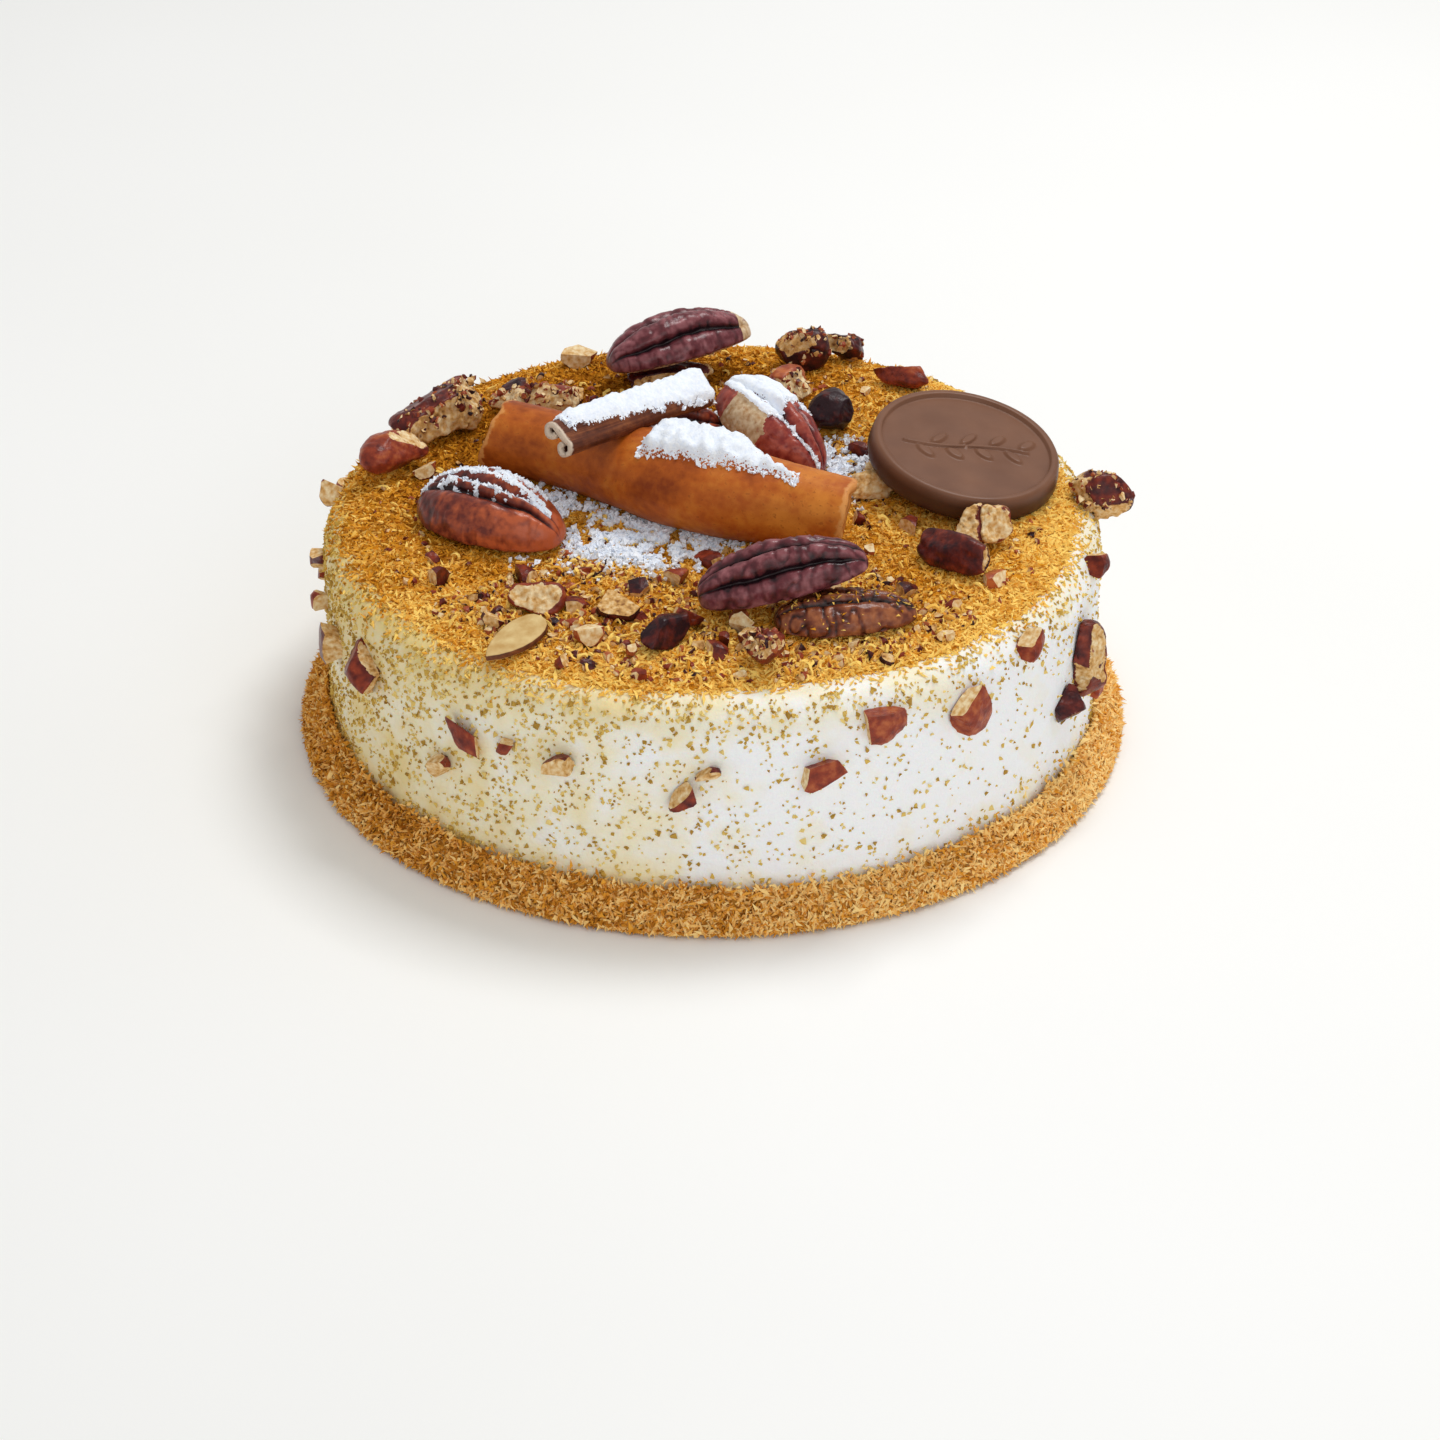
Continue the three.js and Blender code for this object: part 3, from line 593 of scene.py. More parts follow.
# ---- Strewing ----
def turns_along(rng, ways):
    """A random turn for each way, with the shape's own Z along it."""
    z = ways / np.linalg.norm(ways, axis=1, keepdims=True)
    x = np.cross(z, rng.normal(size=z.shape))
    x /= np.linalg.norm(x, axis=1, keepdims=True)
    return np.stack([x, np.cross(z, x), z], axis=-1)


def lying(count, tilt=0.35):
    """Nearly level ways."""
    heading = rng.uniform(0, math.tau, count)
    return np.stack([np.cos(heading), np.sin(heading), rng.normal(size=count) * tilt], axis=-1)


def outward(places):
    """Ways that lead straight out of the cake's side."""
    flat = places * [1, 1, 0]
    return flat / np.linalg.norm(flat, axis=1, keepdims=True)


def strew(
    name, material, shapes, places, sizes, tones, seed,
    turns=None, kind=None, stretch=(0.65, 1.2), jitter=0.14, edge=0.0,
):
    """Joins small shapes into one piece that stays above the floor. turns says how each lies, and
    kind which shape it is."""
    rng = np.random.default_rng(seed)
    places = np.asarray(places, float)
    sizes = np.asarray(sizes, float).reshape(len(places), 1, -1)
    if turns is None:
        turns = turns_along(rng, rng.normal(size=places.shape))
    if kind is None:
        kind = rng.integers(len(shapes), size=len(places))
    parts = []
    start = 0
    for i, (verts, tris, skin) in enumerate(shapes):
        mine = np.flatnonzero(kind == i)
        count = len(mine)
        scale = sizes[mine] * rng.uniform(*stretch, (count, 1, 3))
        local = verts * scale * rng.uniform(1 - jitter, 1 + jitter, (count, len(verts), 1))
        world = np.einsum("nij,nkj->nki", turns[mine], local) + places[mine][:, None]
        world[..., 2] -= np.minimum(world[..., 2].min(1), 0)[:, None]
        faces = tris + (start + np.arange(count) * len(verts))[:, None, None]
        owner = mine.repeat(len(tris))
        parts.append((world.reshape(-1, 3), faces.reshape(-1, 3), np.tile(skin, count), owner))
        start += count * len(verts)
    verts, faces, skins, owners = (np.concatenate(column) for column in zip(*parts))
    mesh = bpy.data.meshes.new(name)
    mesh.from_pydata(verts * MM, [], faces)
    tones, edge = (np.broadcast_to(values, len(places))[owners] for values in (tones, edge))
    # The edge mark holds rim tone with painted light and shade.
    for mark, values in (("tone", tones), ("skin", skins), ("edge", edge)):
        mesh.attributes.new(mark, "FLOAT", "FACE").data.foreach_set("value", values.astype(np.float32))
    return finished(name, mesh, material, smooth=False)


def in_disc(count, radius):
    """Places spread evenly over a disc."""
    angle = rng.uniform(-180, 180, count)
    return ring_point(radius * np.sqrt(rng.random(count)), angle, np.zeros(count))[:, :2]


def in_arc(count, near, far, start, end):
    """Places between two radii and two angles."""
    radius = rng.uniform(near, far, count)
    return ring_point(radius, rng.uniform(start, end, count), np.zeros(count))[:, :2]


def spaced(places, distance):
    """Leaves out places that are closer together than the distance."""
    kept = []
    for p in places:
        if all((p[0] - k[0]) ** 2 + (p[1] - k[1]) ** 2 > distance**2 for k in kept):
            kept.append(p)
    return np.array(kept)


# ---- Kernels, nuts, bark and coin ----
sugar_rims = []


def heap_sugar(bm, sugared, heap, seed=0):
    """Raises a shape where sugar lies on it, and keeps places along the sugar's ragged rim."""
    sugar_rims.extend(tuple(v.co) for v in bm.verts if 0.25 < v[sugared] < 0.6)
    for v in bm.verts:
        lies = eased(v[sugared] * 1.6 - 0.5)
        v.co.z += heap * lies * (0.8 + 0.45 * wobble(v.co, 2.4, seed) + 0.25 * wobble(v.co, 0.9, seed))


def fit(bm, node, along=None):
    """Turns and scales a shape, long side along X, into the place and size of a solid, whose long side
    lies along the given way."""
    verts = np.array([v.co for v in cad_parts[node].data.vertices]) / MM
    _, axes = np.linalg.eigh(np.cov((verts - verts.mean(0)).T))
    up = Vector(axes[:, 0])
    up = up if up.z > 0 else -up
    far = Vector(along) if along else Vector(axes[:, 2])
    far = (far - up * far.dot(up)).normalized()
    far = far if far.x > 0 else -far
    turn = Matrix((far, up.cross(far), up)).transposed()
    local = verts @ np.array(turn)
    own = np.array([v.co for v in bm.verts])
    scale = np.ptp(local, axis=0) / np.ptp(own, axis=0)
    start, end = ((side.max(0) + side.min(0)) / 2 for side in (own, local))
    for v in bm.verts:
        v.co = turn @ Vector((np.array(v.co) - start) * scale + end)


def kernel(
    node, material, seed, grooves, wrinkles=1.0, crease_width=2.1, sugar=None, bare=None, heap=0.8, blush=0.0
):
    """Half a pecan: long grooves between its lobes, and cross wrinkles. grooves says where they run
    across it, from -1 at its front to 1 at its back. sugar and bare say, for a place along, across
    and up the kernel, how much sugar or bare flesh it has. blush makes its right end lighter."""
    bm = bmesh.new()
    bmesh.ops.create_uvsphere(bm, u_segments=128, v_segments=96, radius=1)
    bmesh.ops.rotate(bm, verts=bm.verts, matrix=Matrix.Rotation(math.pi / 2, 3, "Y"))
    painted_shade_highlight_and_tone_layer = bm.verts.layers.float.new("painted_shade_highlight_and_tone")
    sugared = bm.verts.layers.float.new("sugar")
    pale = bm.verts.layers.float.new("bare")
    for v in bm.verts:
        x, y, z = v.co
        fade = math.sqrt(max(0, 1 - x * x))
        full = (1 + 0.16 * fade**2) * max(fade, 0.2) ** -0.3
        across = y / max(fade, 0.06)
        spot = Vector((x * 16, y * 8, z * 6))
        wander = 0.04 * math.sin(5 * x + seed) + 0.07 * wobble(spot, 5, seed)
        off = min(abs(across - line + wander) for line in grooves)
        groove = bump_at(off, 0, 0.06) * min(1, fade * 1.7)
        valley = bump_at(off, 0, 0.17) * fade
        crease = 1 - min(1, abs(wobble(Vector((x * 16, y * 5, z * 3)), crease_width, seed)) * 6)
        fine = wobble(spot, 0.9, seed + 9)
        lobe = wobble(spot, 3.2, seed + 4)
        dent = 0.12 * groove + 0.19 * valley + wrinkles * (0.045 * crease - 0.012 * fine) - 0.05 * lobe
        # Painted shade: darker in the grooves, valleys and creases, lighter towards a painted highlight on
        # the lobes; fine noise and blush are tone.
        v[painted_shade_highlight_and_tone_layer] = 0.72 - 0.65 * groove - 0.25 * valley - 0.3 * wrinkles * crease + 0.15 * fine + blush * x
        v[sugared] = sugar(x, across, z, groove) if sugar else 0
        v[pale] = bare(x, across, z) if bare else 0
        v.co.y = y * full * (1 - dent) * (1 - 0.13 * x) * 0.55
        v.co.z = z * full * (0.78 * (1 - dent) if z > 0 else 0.28)
        v.co.z -= 0.1 * x * x
    fit(bm, node)
    heap_sugar(bm, sugared, heap, seed)
    return piece(node + "_kernel", bm, material, [node])


def snap_off(bm, middle, way, depth, snapped):
    """Cuts a nut off flat, at a share of its reach from its middle, and marks the new face."""
    way = Vector(way).normalized()
    reach = max((v.co - middle).dot(way) for v in bm.verts)
    rim = cut_off(bm, middle + way * reach * depth, way)
    for f in bmesh.ops.holes_fill(bm, edges=rim, sides=0)["faces"]:
        f[snapped] = 1


def refine(bm, longest):
    """Splits long edges until none is longer than about the given length."""
    for _ in range(4):
        bmesh.ops.triangulate(bm, faces=bm.faces)
        long_edges = [e for e in bm.edges if e.calc_length() > longest]
        if long_edges:
            bmesh.ops.subdivide_edges(bm, edges=long_edges, cuts=1)
    bmesh.ops.triangulate(bm, faces=bm.faces)


def chunk(seed, node, skin_way, tone, skin_share, breaks, crack=None):
    """A broken nut in a solid's place: it has skin where it faces the given way, and flesh elsewhere.
    breaks gives the ways that its flat, snapped faces look, each with its depth. These are flesh too,
    unless the share is over 1. crack is the way across a crack through its middle, which sinks in and takes
    skin colour as painted shade."""
    bm = solid_of(node)
    snapped = bm.faces.layers.int.new("snapped")
    few = len(bm.faces) < 130
    bmesh.ops.subdivide_edges(bm, edges=bm.edges, cuts=4 if few else 2, use_grid_fill=True, smooth=0.35)
    middle = sum((v.co for v in bm.verts), Vector()) / len(bm.verts)
    size = max((v.co - middle).length for v in bm.verts)
    for break_way, depth in breaks:
        snap_off(bm, middle, break_way, depth, snapped)
    refine(bm, 0.75)
    bm.normal_update()
    way = Vector(skin_way)
    skins = bm.verts.layers.float.new("skin")
    tones = bm.verts.layers.float.new("tone")
    moves = {}
    for v in bm.verts:
        facing = (v.co - middle).normalized().dot(way) * 0.4 + v.normal.dot(way) * 0.6
        patches = 0.7 * wobble(v.co, 2.6, seed)
        skin = 0.5 + 2.2 * (facing - 1 + 2 * skin_share) + patches
        if skin_share <= 1 and all(f[snapped] for f in v.link_faces):
            skin = patches - 0.05
        v[skins] = min(1, max(0, skin))
        v[tones] = tone + 0.2 * wobble(v.co, 4, seed + 2)
        flesh = 1 - v[skins]
        pits = flesh * (0.75 * rough(v.co, 2.3, seed) - 0.1) + (1 - flesh) * 0.25 * rough(v.co, 3, seed)
        if crack:
            # Painted shade in the crack: it takes dark skin colour as well as sinking in.
            crack_sink_and_painted_shade = bump_at((v.co - middle).dot(Vector(crack)) + 0.5 * wobble(v.co, 3), 0, 0.45)
            v[skins] = max(v[skins], crack_sink_and_painted_shade)
            pits -= 0.9 * crack_sink_and_painted_shade
        moves[v] = v.normal * (pits + 0.012 * size)
    for v, move in moves.items():
        v.co += move
    return piece(node + "_nut", bm, NUT, [node])


def between_ends(start, end, roll=0):
    """The place of a long piece whose own Z runs from start to end, with its Y kept upright."""
    along = (end - start).normalized()
    side = Vector((0, 0, 1)).cross(along).normalized()
    up = along.cross(side)
    turn = Matrix((side, up, along)).transposed() @ Matrix.Rotation(math.radians(roll), 3, "Z")
    return Matrix.Translation(start) @ turn.to_4x4()


def curl(centre, start, end, first, last, steps):
    """Points along a curl, as its angle in degrees and its radius change."""
    angles, radii = np.radians(np.linspace(start, end, steps + 1)), np.linspace(first, last, steps + 1)
    return [Vector((centre + r * math.cos(a), r * math.sin(a))) for a, r in zip(angles, radii)]


def rolled(section, length, steps, thickness, shape, sugar, place, heap, seed=0):
    """A sheet of bark rolled to a section. shape moves a point across and along the roll to its
    place, and sugar gives the icing sugar there, which is heaped up once the roll is in place."""
    bm = bmesh.new()
    bmesh.ops.create_grid(bm, x_segments=steps, y_segments=len(section) - 1, size=1)
    worn = bm.verts.layers.float.new("worn")
    for v in bm.verts:
        share = (v.co.x + 1) / 2
        turn = (v.co.y + 1) / 2
        lip = min(turn, 1 - turn) * len(section) / 2
        v[worn] = max(0, 1 - min(share, 1 - share) * length / 1.6, 1 - lip)
        v.co = shape(section[round(turn * (len(section) - 1))], share * length)
    bm.normal_update()
    bmesh.ops.recalc_face_normals(bm, faces=bm.faces)
    bmesh.ops.solidify(bm, geom=bm.faces, thickness=thickness)
    bmesh.ops.recalc_face_normals(bm, faces=bm.faces)
    bm.normal_update()
    grain = bm.verts.layers.float_vector.new("grain")
    sugared = bm.verts.layers.float.new("sugar")
    moves = {}
    for v in bm.verts:
        round_it = math.atan2(v.co.x, v.co.y) * 8
        v[grain] = Vector((v.co.z, round_it, 0))
        v[sugared] = sugar(v.co, v.normal)
        line = 0.12 * wobble((v.co.z / 14, round_it, 0), 1.3)
        moves[v] = v.normal * (line + 0.35 * wobble(v.co, 11) + 0.06 * wobble(v.co, 1.2))
    for v, move in moves.items():
        v.co += move
    bmesh.ops.transform(bm, matrix=place, verts=bm.verts)
    heap_sugar(bm, sugared, heap, seed)
    return bm


def quill_belly(z):
    return bump_at(z / QUILL_LENGTH, 0.6, 0.26)


def large_quill():
    """Bark rolled once and a bit, with a belly to the front and askew ends, under a bank of sugar."""
    section = curl(0, -20, -20 - 360 * QUILL_TURNS, 1, 1 - QUILL_WALL * QUILL_TURNS, 130)

    def shape(p, z):
        belly = quill_belly(z)
        near_end = max(0, 1 - min(z, QUILL_LENGTH - z) / 9)
        askew = 1.9 * p.y * near_end + 1.3 * wobble((p.x * 4, p.y * 4, z / 20), 1.8) * near_end
        slant = QUILL_SLANT * p.x * near_end * (z > QUILL_LENGTH / 2)
        flare = 1 + 0.05 * near_end * wobble((p.x * 3, p.y * 3, 0), 1.5, 2)
        side = p.x * (QUILL_WIDTH + 4 * belly) * flare - 3.6 * belly
        return Vector((side, (p.y + 1) * (7.2 + 1.9 * belly), z + askew - slant))

    def sugar(p, normal):
        """The bank lies wide in the middle of the quill and narrows towards its right end."""
        share = p.z / QUILL_LENGTH
        front = -9.4 + 4.2 * eased((share - 0.6) / 0.3)
        back = 6.5 - 9.6 * eased((share - 0.56) / 0.3)
        inside = min(p.x - front, back - p.x) / 2 + 0.5 + 0.45 * wobble(p, 2, 8)
        ends = min((share - 0.475) * 32, (0.89 - share) * 22) + 0.5
        lower = 1 - 0.3 * eased((share - 0.62) / 0.2)
        return eased(min(inside, ends) * 0.8 + 0.1) * lower * (normal.y > -0.1 and p.y > 9)

    lift = Vector((0, 0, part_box("cinnamon_quill_large")[0].z / MM))
    place = between_ends(QUILL_START + lift, QUILL_END + lift)
    bm = rolled(section, QUILL_LENGTH, 150, -QUILL_BARK, shape, sugar, place, 3.3)
    return piece("cinnamon_quill", bm, QUILL, ["cinnamon_quill_large"])


def small_stick():
    """A thin stick that curls in from both sides, with sugar along its top."""
    outer = STICK_CURL - STICK_BARK / 2
    left = curl(-STICK_CURL, 380, 90, 1.4, outer, 26)
    right = curl(STICK_CURL, 90, -200, outer, 1.4, 26)
    link = [left[-1].lerp(right[0], share) for share in (0.25, 0.5, 0.75)]
    length = (STICK_BACK - STICK_FRONT).length

    def shape(p, z):
        bow = 0.5 * math.sin(math.pi * z / length)
        ragged = 0.5 * wobble((p.x, p.y, z), 2.2) * max(0, 1 - min(z, length - z) / 4)
        return Vector((p.x * (1 + 0.05 * math.sin(z / 7)), p.y + bow, z + ragged))

    upright = Matrix.Rotation(math.radians(STICK_ROLL), 3, "Z")

    def sugar(p, normal):
        """The upper half is white, less so towards the front end."""
        share = p.z / length
        level = (upright @ p).x
        up = (upright @ normal).y
        back = level + 1.5 + 3.2 * share + 0.9 * wobble(p, 2, 4)
        outside = abs(p.x) > 0.4 or p.y > 1
        return eased(back / 1.4) * eased((up + 0.2) / 0.3) * eased((share - 0.03) / 0.1) * outside

    place = between_ends(STICK_FRONT, STICK_BACK, STICK_ROLL)
    bm = rolled([*left, *link, *right], length, 110, STICK_BARK, shape, sugar, place, 1.5, 3)
    return piece("cinnamon_stick", bm, STICK, ["cinnamon_stick_small"])


def sprig(x, y):
    """Height of a plain sprig of leaves, from 0 to 1, on the coin's face."""
    x, y = x / SPRIG_SIZE, y / SPRIG_SIZE
    stem = y - 0.8 * math.sin(x / 4)
    height = eased((0.36 - abs(stem)) / 0.2) * (abs(x) < 9.8)
    for i, root in enumerate(np.linspace(-8, 8, 8)):
        side = 1 if i % 2 else -1
        across = Vector((x - root - 1.6, stem - side * 1.9))
        lean = math.radians(48 * side)
        far = across.x * math.cos(lean) + across.y * math.sin(lean)
        near = across.y * math.cos(lean) - across.x * math.sin(lean)
        height = max(height, eased((1 - math.hypot(far / 2.1, near / 0.95)) / 0.4))
    return height


def coin():
    """A coin of chocolate: a raised rim, and a plain sprig in its sunken face."""
    top = COIN_THICKNESS
    face = top - COIN_RECESS
    rim = COIN_RADIUS - COIN_RIM
    side = [(1, 0), (0.3, 0.5), (0, 1.6), (0.15, 3.4), (0.45, top - 0.7), (0.8, top - 0.15), (1.3, top)]
    edge = [(-0.2, top), (0, top - 0.12), (0.12, face + 0.1), (0.3, face)]
    outline = [(COIN_RADIUS - inward, z) for inward, z in side] + [(rim - inward, z) for inward, z in edge]
    plate = points_on((rim - 0.9, face), (0.4, face), 62)
    bm = spun([(0, 0), *outline, *plate, (0, face)], 260)
    sides = bm.verts.layers.float.new("side")
    for v in bm.verts:
        outer = v.co.xy.length > rim + 0.7
        # Painted shade on the side, darkest low down, starting just under the top edge.
        v[sides] = 0.8 * outer * eased((top - 0.3 - v.co.z) / 2.4)
        if v.co.z > face - 0.1 and v.co.xy.length < rim - 0.6:
            v.co.z += 0.55 * sprig(v.co.x, v.co.y)
        v.co += v.normal * 0.06 * wobble(v.co, 6)
    fit(bm, "chocolate_disc", along=(1, 0, 0))
    return piece("chocolate_coin", bm, CHOCOLATE, ["chocolate_disc"])


def almond_slice():
    """The leaf-shaped slice at the front rim, pale with a brown edge."""
    bm = solid_of("almond_slice_front")
    bmesh.ops.dissolve_limit(bm, angle_limit=math.radians(4), verts=bm.verts, edges=bm.edges)
    rim = [e for e in bm.edges if e.calc_face_angle(0) > 0.6]
    bmesh.ops.bevel(bm, geom=rim, offset=0.4, segments=3, profile=0.5, affect="EDGES", material=-1)
    bmesh.ops.triangulate(bm, faces=bm.faces)
    bmesh.ops.subdivide_edges(bm, edges=bm.edges, cuts=2, use_grid_fill=True)
    bmesh.ops.triangulate(bm, faces=bm.faces)
    bm.normal_update()
    skins = bm.verts.layers.float.new("skin")
    for v in bm.verts:
        v[skins] = float(abs(v.normal.z) < 0.5)
        v.co += v.normal * 0.08 * wobble(v.co, 2.5)
    return piece("almond_slice", bm, ALMOND, ["almond_slice_front"])


# ---- Making the cake ----
rng = np.random.default_rng(12)
crumb_solid = solid_of("crumb_top")
cream_solid = solid_of("cream_body")
TOP_NUT_LOW = CAKE_TOP + 0.75
top_nuts = islands(crumb_solid, lambda p: p.z > TOP_NUT_LOW)
side_nuts = islands(
    cream_solid, lambda p: p.z > 8 and p.xy.length > 70 and p.xy.length - cream_radius(p.z) > 0.8
)
bmesh.ops.delete(crumb_solid, geom=[v for v in crumb_solid.verts if v.co.z > TOP_NUT_LOW], context="VERTS")
layer_tree = BVHTree.FromBMesh(crumb_solid)
crumb_solid.free()
cream_solid.free()


def layer_height(x, y):
    """Height of the crumb layer's solid, without the nuts that are fused to it."""
    hit = layer_tree.ray_cast(Vector((x, y, 90)), Vector((0, 0, -1)))[0]
    return (hit or layer_tree.find_nearest(Vector((x, y, CAKE_TOP)))[0]).z


foot_shape = foot()
cream_shape = cream()
bed_shape = crumb_bed(layer_height)
bed_tree, side_tree = (BVHTree.FromBMesh(bm) for bm in (bed_shape, cream_shape))
piece("crumb_foot", foot_shape, FOOT_BED, ["crumb_base"])
piece("cream_side", cream_shape, CREAM, ["cream_body"])
piece("crumb_bed", bed_shape, TOP_BED, ["crumb_top"])

large_quill()
small_stick()
coin()
almond_slice()


def groove_sugar(x, across, z, groove):
    """Sugar fills the left pecan's back groove, and lies in lines and specks on its back lobe."""
    line = max(groove * (across > -0.1), 0.9 * bump_at(across, 0.36 - 0.12 * x, 0.06)) * (-0.75 < x < 0.85)
    specks = 0.35 + 1.3 * wobble((x * 14, across * 14, 0), 1.5, 5)
    end = 0.55 + 0.3 * wobble((x * 16, across * 9, 3), 3)
    back = eased((across - 0.4) / 0.08) * specks * (x < end)
    spots = 1.2 * wobble((x * 16, across * 9, 1), 1.1) * (-0.3 < across < 0.1 and x < 0.4)
    return np.clip(max(line, back, spots) * (z > 0), 0, 0.8)


def centre_sugar(x, across, z, groove):
    """Sugar covers the upper half of the leaning pecan and lies in lumps along its groove below."""
    reach = 0.12 - x + 0.5 * wobble((x * 16, across * 8, 0), 3)
    high = eased(reach / 0.3) * (across > -0.5) * (1 - 0.8 * groove * (-0.6 < x < -0.2))
    lumps = groove * (across < 0.2 and x > 0) * (0.7 + 0.8 * wobble((x * 16, 0, 0), 2))
    return np.clip(max(0.95 * high, lumps) * (z > 0), 0, 0.9)


def centre_bare(x, across, z):
    """The leaning pecan shows its flesh in a ragged patch at its front left."""
    ragged = 0.35 * wobble((x * 16, across * 8, 0), 3)
    return 0.8 * (across < -0.4 + ragged and -0.6 < x < 0.1 + ragged)


kernel("pecan_left", PECAN_RED, 1, (-0.3, 0.1), 0.5, sugar=groove_sugar, heap=0.7, blush=0.3)
kernel("pecan_front_lower", PECAN_BROWN, 2, (-0.2, 0.3), 1.9, 3.2)
kernel("pecan_front_upper", PECAN_PURPLE, 3, (-0.7, 0.05), 1.3, 3.0)
kernel("pecan_back", PECAN_PURPLE, 4, (-0.75, 0.12), 0.7,
       bare=lambda x, across, z: 0.75 * (x > 0.8) + 0.5 * (z < -0.2))
kernel("pecan_under_centre", PECAN_RED, 6, (-0.4, 0.4))
kernel("pecan_centre", PECAN_CRIMSON, 5, (-0.15, 0.55), 0.5, sugar=centre_sugar, bare=centre_bare, heap=1.2)

# Broken nuts: the way their skin faces, the skin's tone from dark to light, its share, and the
# ways that their snapped faces look, each with its depth.
CHUNKS = {
    "pecan_broken_left": ((-0.4, 0.2, 0.9), 0.35, 0.66, [((0.5, -0.75, 0.2), 0.6), ((0.7, 0.1, 0.7), 0.62)]),
    "pecan_broken_left_low": ((-0.5, -0.7, 0.1), 0.65, 0.8, [((0.5, 0, 0.85), 0.68)]),
    "nut_round": (
        (0, 0, 1), -0.02, 1.2, [((-0.5, -0.6, 0.6), 0.84), ((0.6, -0.6, 0.3), 0.84), ((0, -0.5, -0.7), 0.8)],
    ),
    "nut_back_right": ((0, 0, 0), 0.15, 1, [((-0.15, -0.85, 0.45), 0.6), ((-0.6, 0, 0.8), 0.75)]),
    "nut_back_right_outer": ((0, 0, 1), 0.15, 0.85, [((-0.5, -0.6, 0.5), 0.6)]),
    "nut_flake_back": ((0, -0.5, 0.8), 0.5, 0.9, [((0.1, 0.7, 0.7), 0.3)]),
    "nut_back_middle": ((-0.3, -0.4, 0.8), 0.85, 0.7, [((0.6, -0.5, 0.5), 0.6), ((-0.5, -0.6, 0.3), 0.75)]),
    "nut_strip_back_left": ((0, 0.5, 0.2), 0.75, 0.5, [((-0.2, -0.4, 0.9), 0.5), ((0.9, -0.3, 0.3), 0.6)]),
    "pecan_sliver_right": ((-0.3, -0.2, 0.9), 0.25, 0.97, [((0.75, -0.6, 0.3), 0.75)]),
    "nut_block_right": (
        (0.7, 0.3, -0.2), 0.5, 0.35, [((-0.3, -0.6, 0.7), 0.6), ((0.5, -0.7, 0.4), 0.65)], (0.85, -0.35, 0.4),
    ),
    "nut_under_disc": ((0, 0.4, -0.6), 0.4, 0.4, [((-0.5, -0.5, 0.6), 0.6)]),
    "nut_under_back": ((-0.6, -0.2, 0.4), 0.2, 0.6, [((0.2, -0.8, 0.5), 0.6)]),
    "almond_front": ((0, 0, 0), 0.6, 1, [((-0.05, -0.7, 0.7), 0.28)]),
    "pecan_sliver_front": (
        (0, 0, 1), 0.08, 1.2, [((-0.5, -0.4, 0.75), 0.45), ((0.7, -0.7, 0.3), 0.4), ((1, 0.2, 0.2), 0.8)],
    ),
    "nut_front_right": ((0.4, -0.4, 0.5), 0.45, 0.75, [((-0.7, -0.2, 0.7), 0.55), ((0.5, -0.8, 0.2), 0.7)]),
    "nut_rim_right": ((0.85, -0.1, 0.5), 0.3, 0.42, [((-0.7, -0.6, 0.1), 0.5), ((0.1, -0.8, -0.5), 0.6)]),
    "nut_side_left": (
        (0, -0.6, -0.4), 0.45, 0.95,
        [((-0.7, -0.3, -0.7), 0.45), ((0.75, -0.4, -0.5), 0.6), ((0.3, -0.4, 0.9), 0.7)],
    ),
    "nut_side_right": ((0, 0, 0), 0.4, 1, [((0.75, -0.65, 0.15), 0.62), ((-0.1, -0.95, -0.3), 0.7)]),
    "nut_side_right_low": ((0.5, -0.8, -0.1), 0.15, 1.2, [((0.2, -0.6, 0.8), 0.6), ((0.4, -0.5, -0.7), 0.6)]),
    "nut_side_back": ((-0.5, 0.8, 0.2), 0.5, 0.6, [((-0.2, 0.9, 0.5), 0.6)]),
    "nut_side_back_right": ((0.6, 0.8, 0.2), 0.4, 0.8, [((0.3, 0.6, 0.8), 0.6)]),
}
for i, (node, looks) in enumerate(CHUNKS.items()):
    chunk(i, node, *looks)

# Small nuts where the solids have them, on the top and on the side.
SKIN_NUTS = [broken_shape(seed, 3, True) for seed in range(8)]
PALE_NUTS = [broken_shape(seed + 20, 3, False) for seed in range(4)]
BITS = [broken_shape(seed + 40, 2, seed % 5 < 2) for seed in range(12)]
MEAL = [broken_shape(seed + 60, 1, seed % 3 == 0) for seed in range(6)]
FLAKES = [flake_shape()]
CURLS = [curl_shape()]
SHREDS = [shred_shape(bend) for bend in (0.12, 0.24, 0.36)]
PALE_ANGLES = (-131, -111.4, -90.6)


def lie_of_small(groups, ups, feet):
    """The middles, turns and sizes of the small nuts on a layer. Each reaches down to its foot, a
    point just inside the layer."""
    lies = []
    for group, up, foot_of_nut in zip(groups, ups, feet):
        up = up / np.linalg.norm(up)
        flat = group - group.mean(0)
        flat -= np.outer(flat @ up, up)
        length = np.linalg.svd(flat, full_matrices=False)[2][0]
        turn = np.stack([length, np.cross(up, length), up], axis=-1)
        local = group @ turn
        low, high = local.min(0), local.max(0)
        low[2] = foot_of_nut @ up
        lies.append((turn @ ((low + high) / 2), turn, np.maximum(high - low, 2.2)))
    return [np.array(column) for column in zip(*lies)]


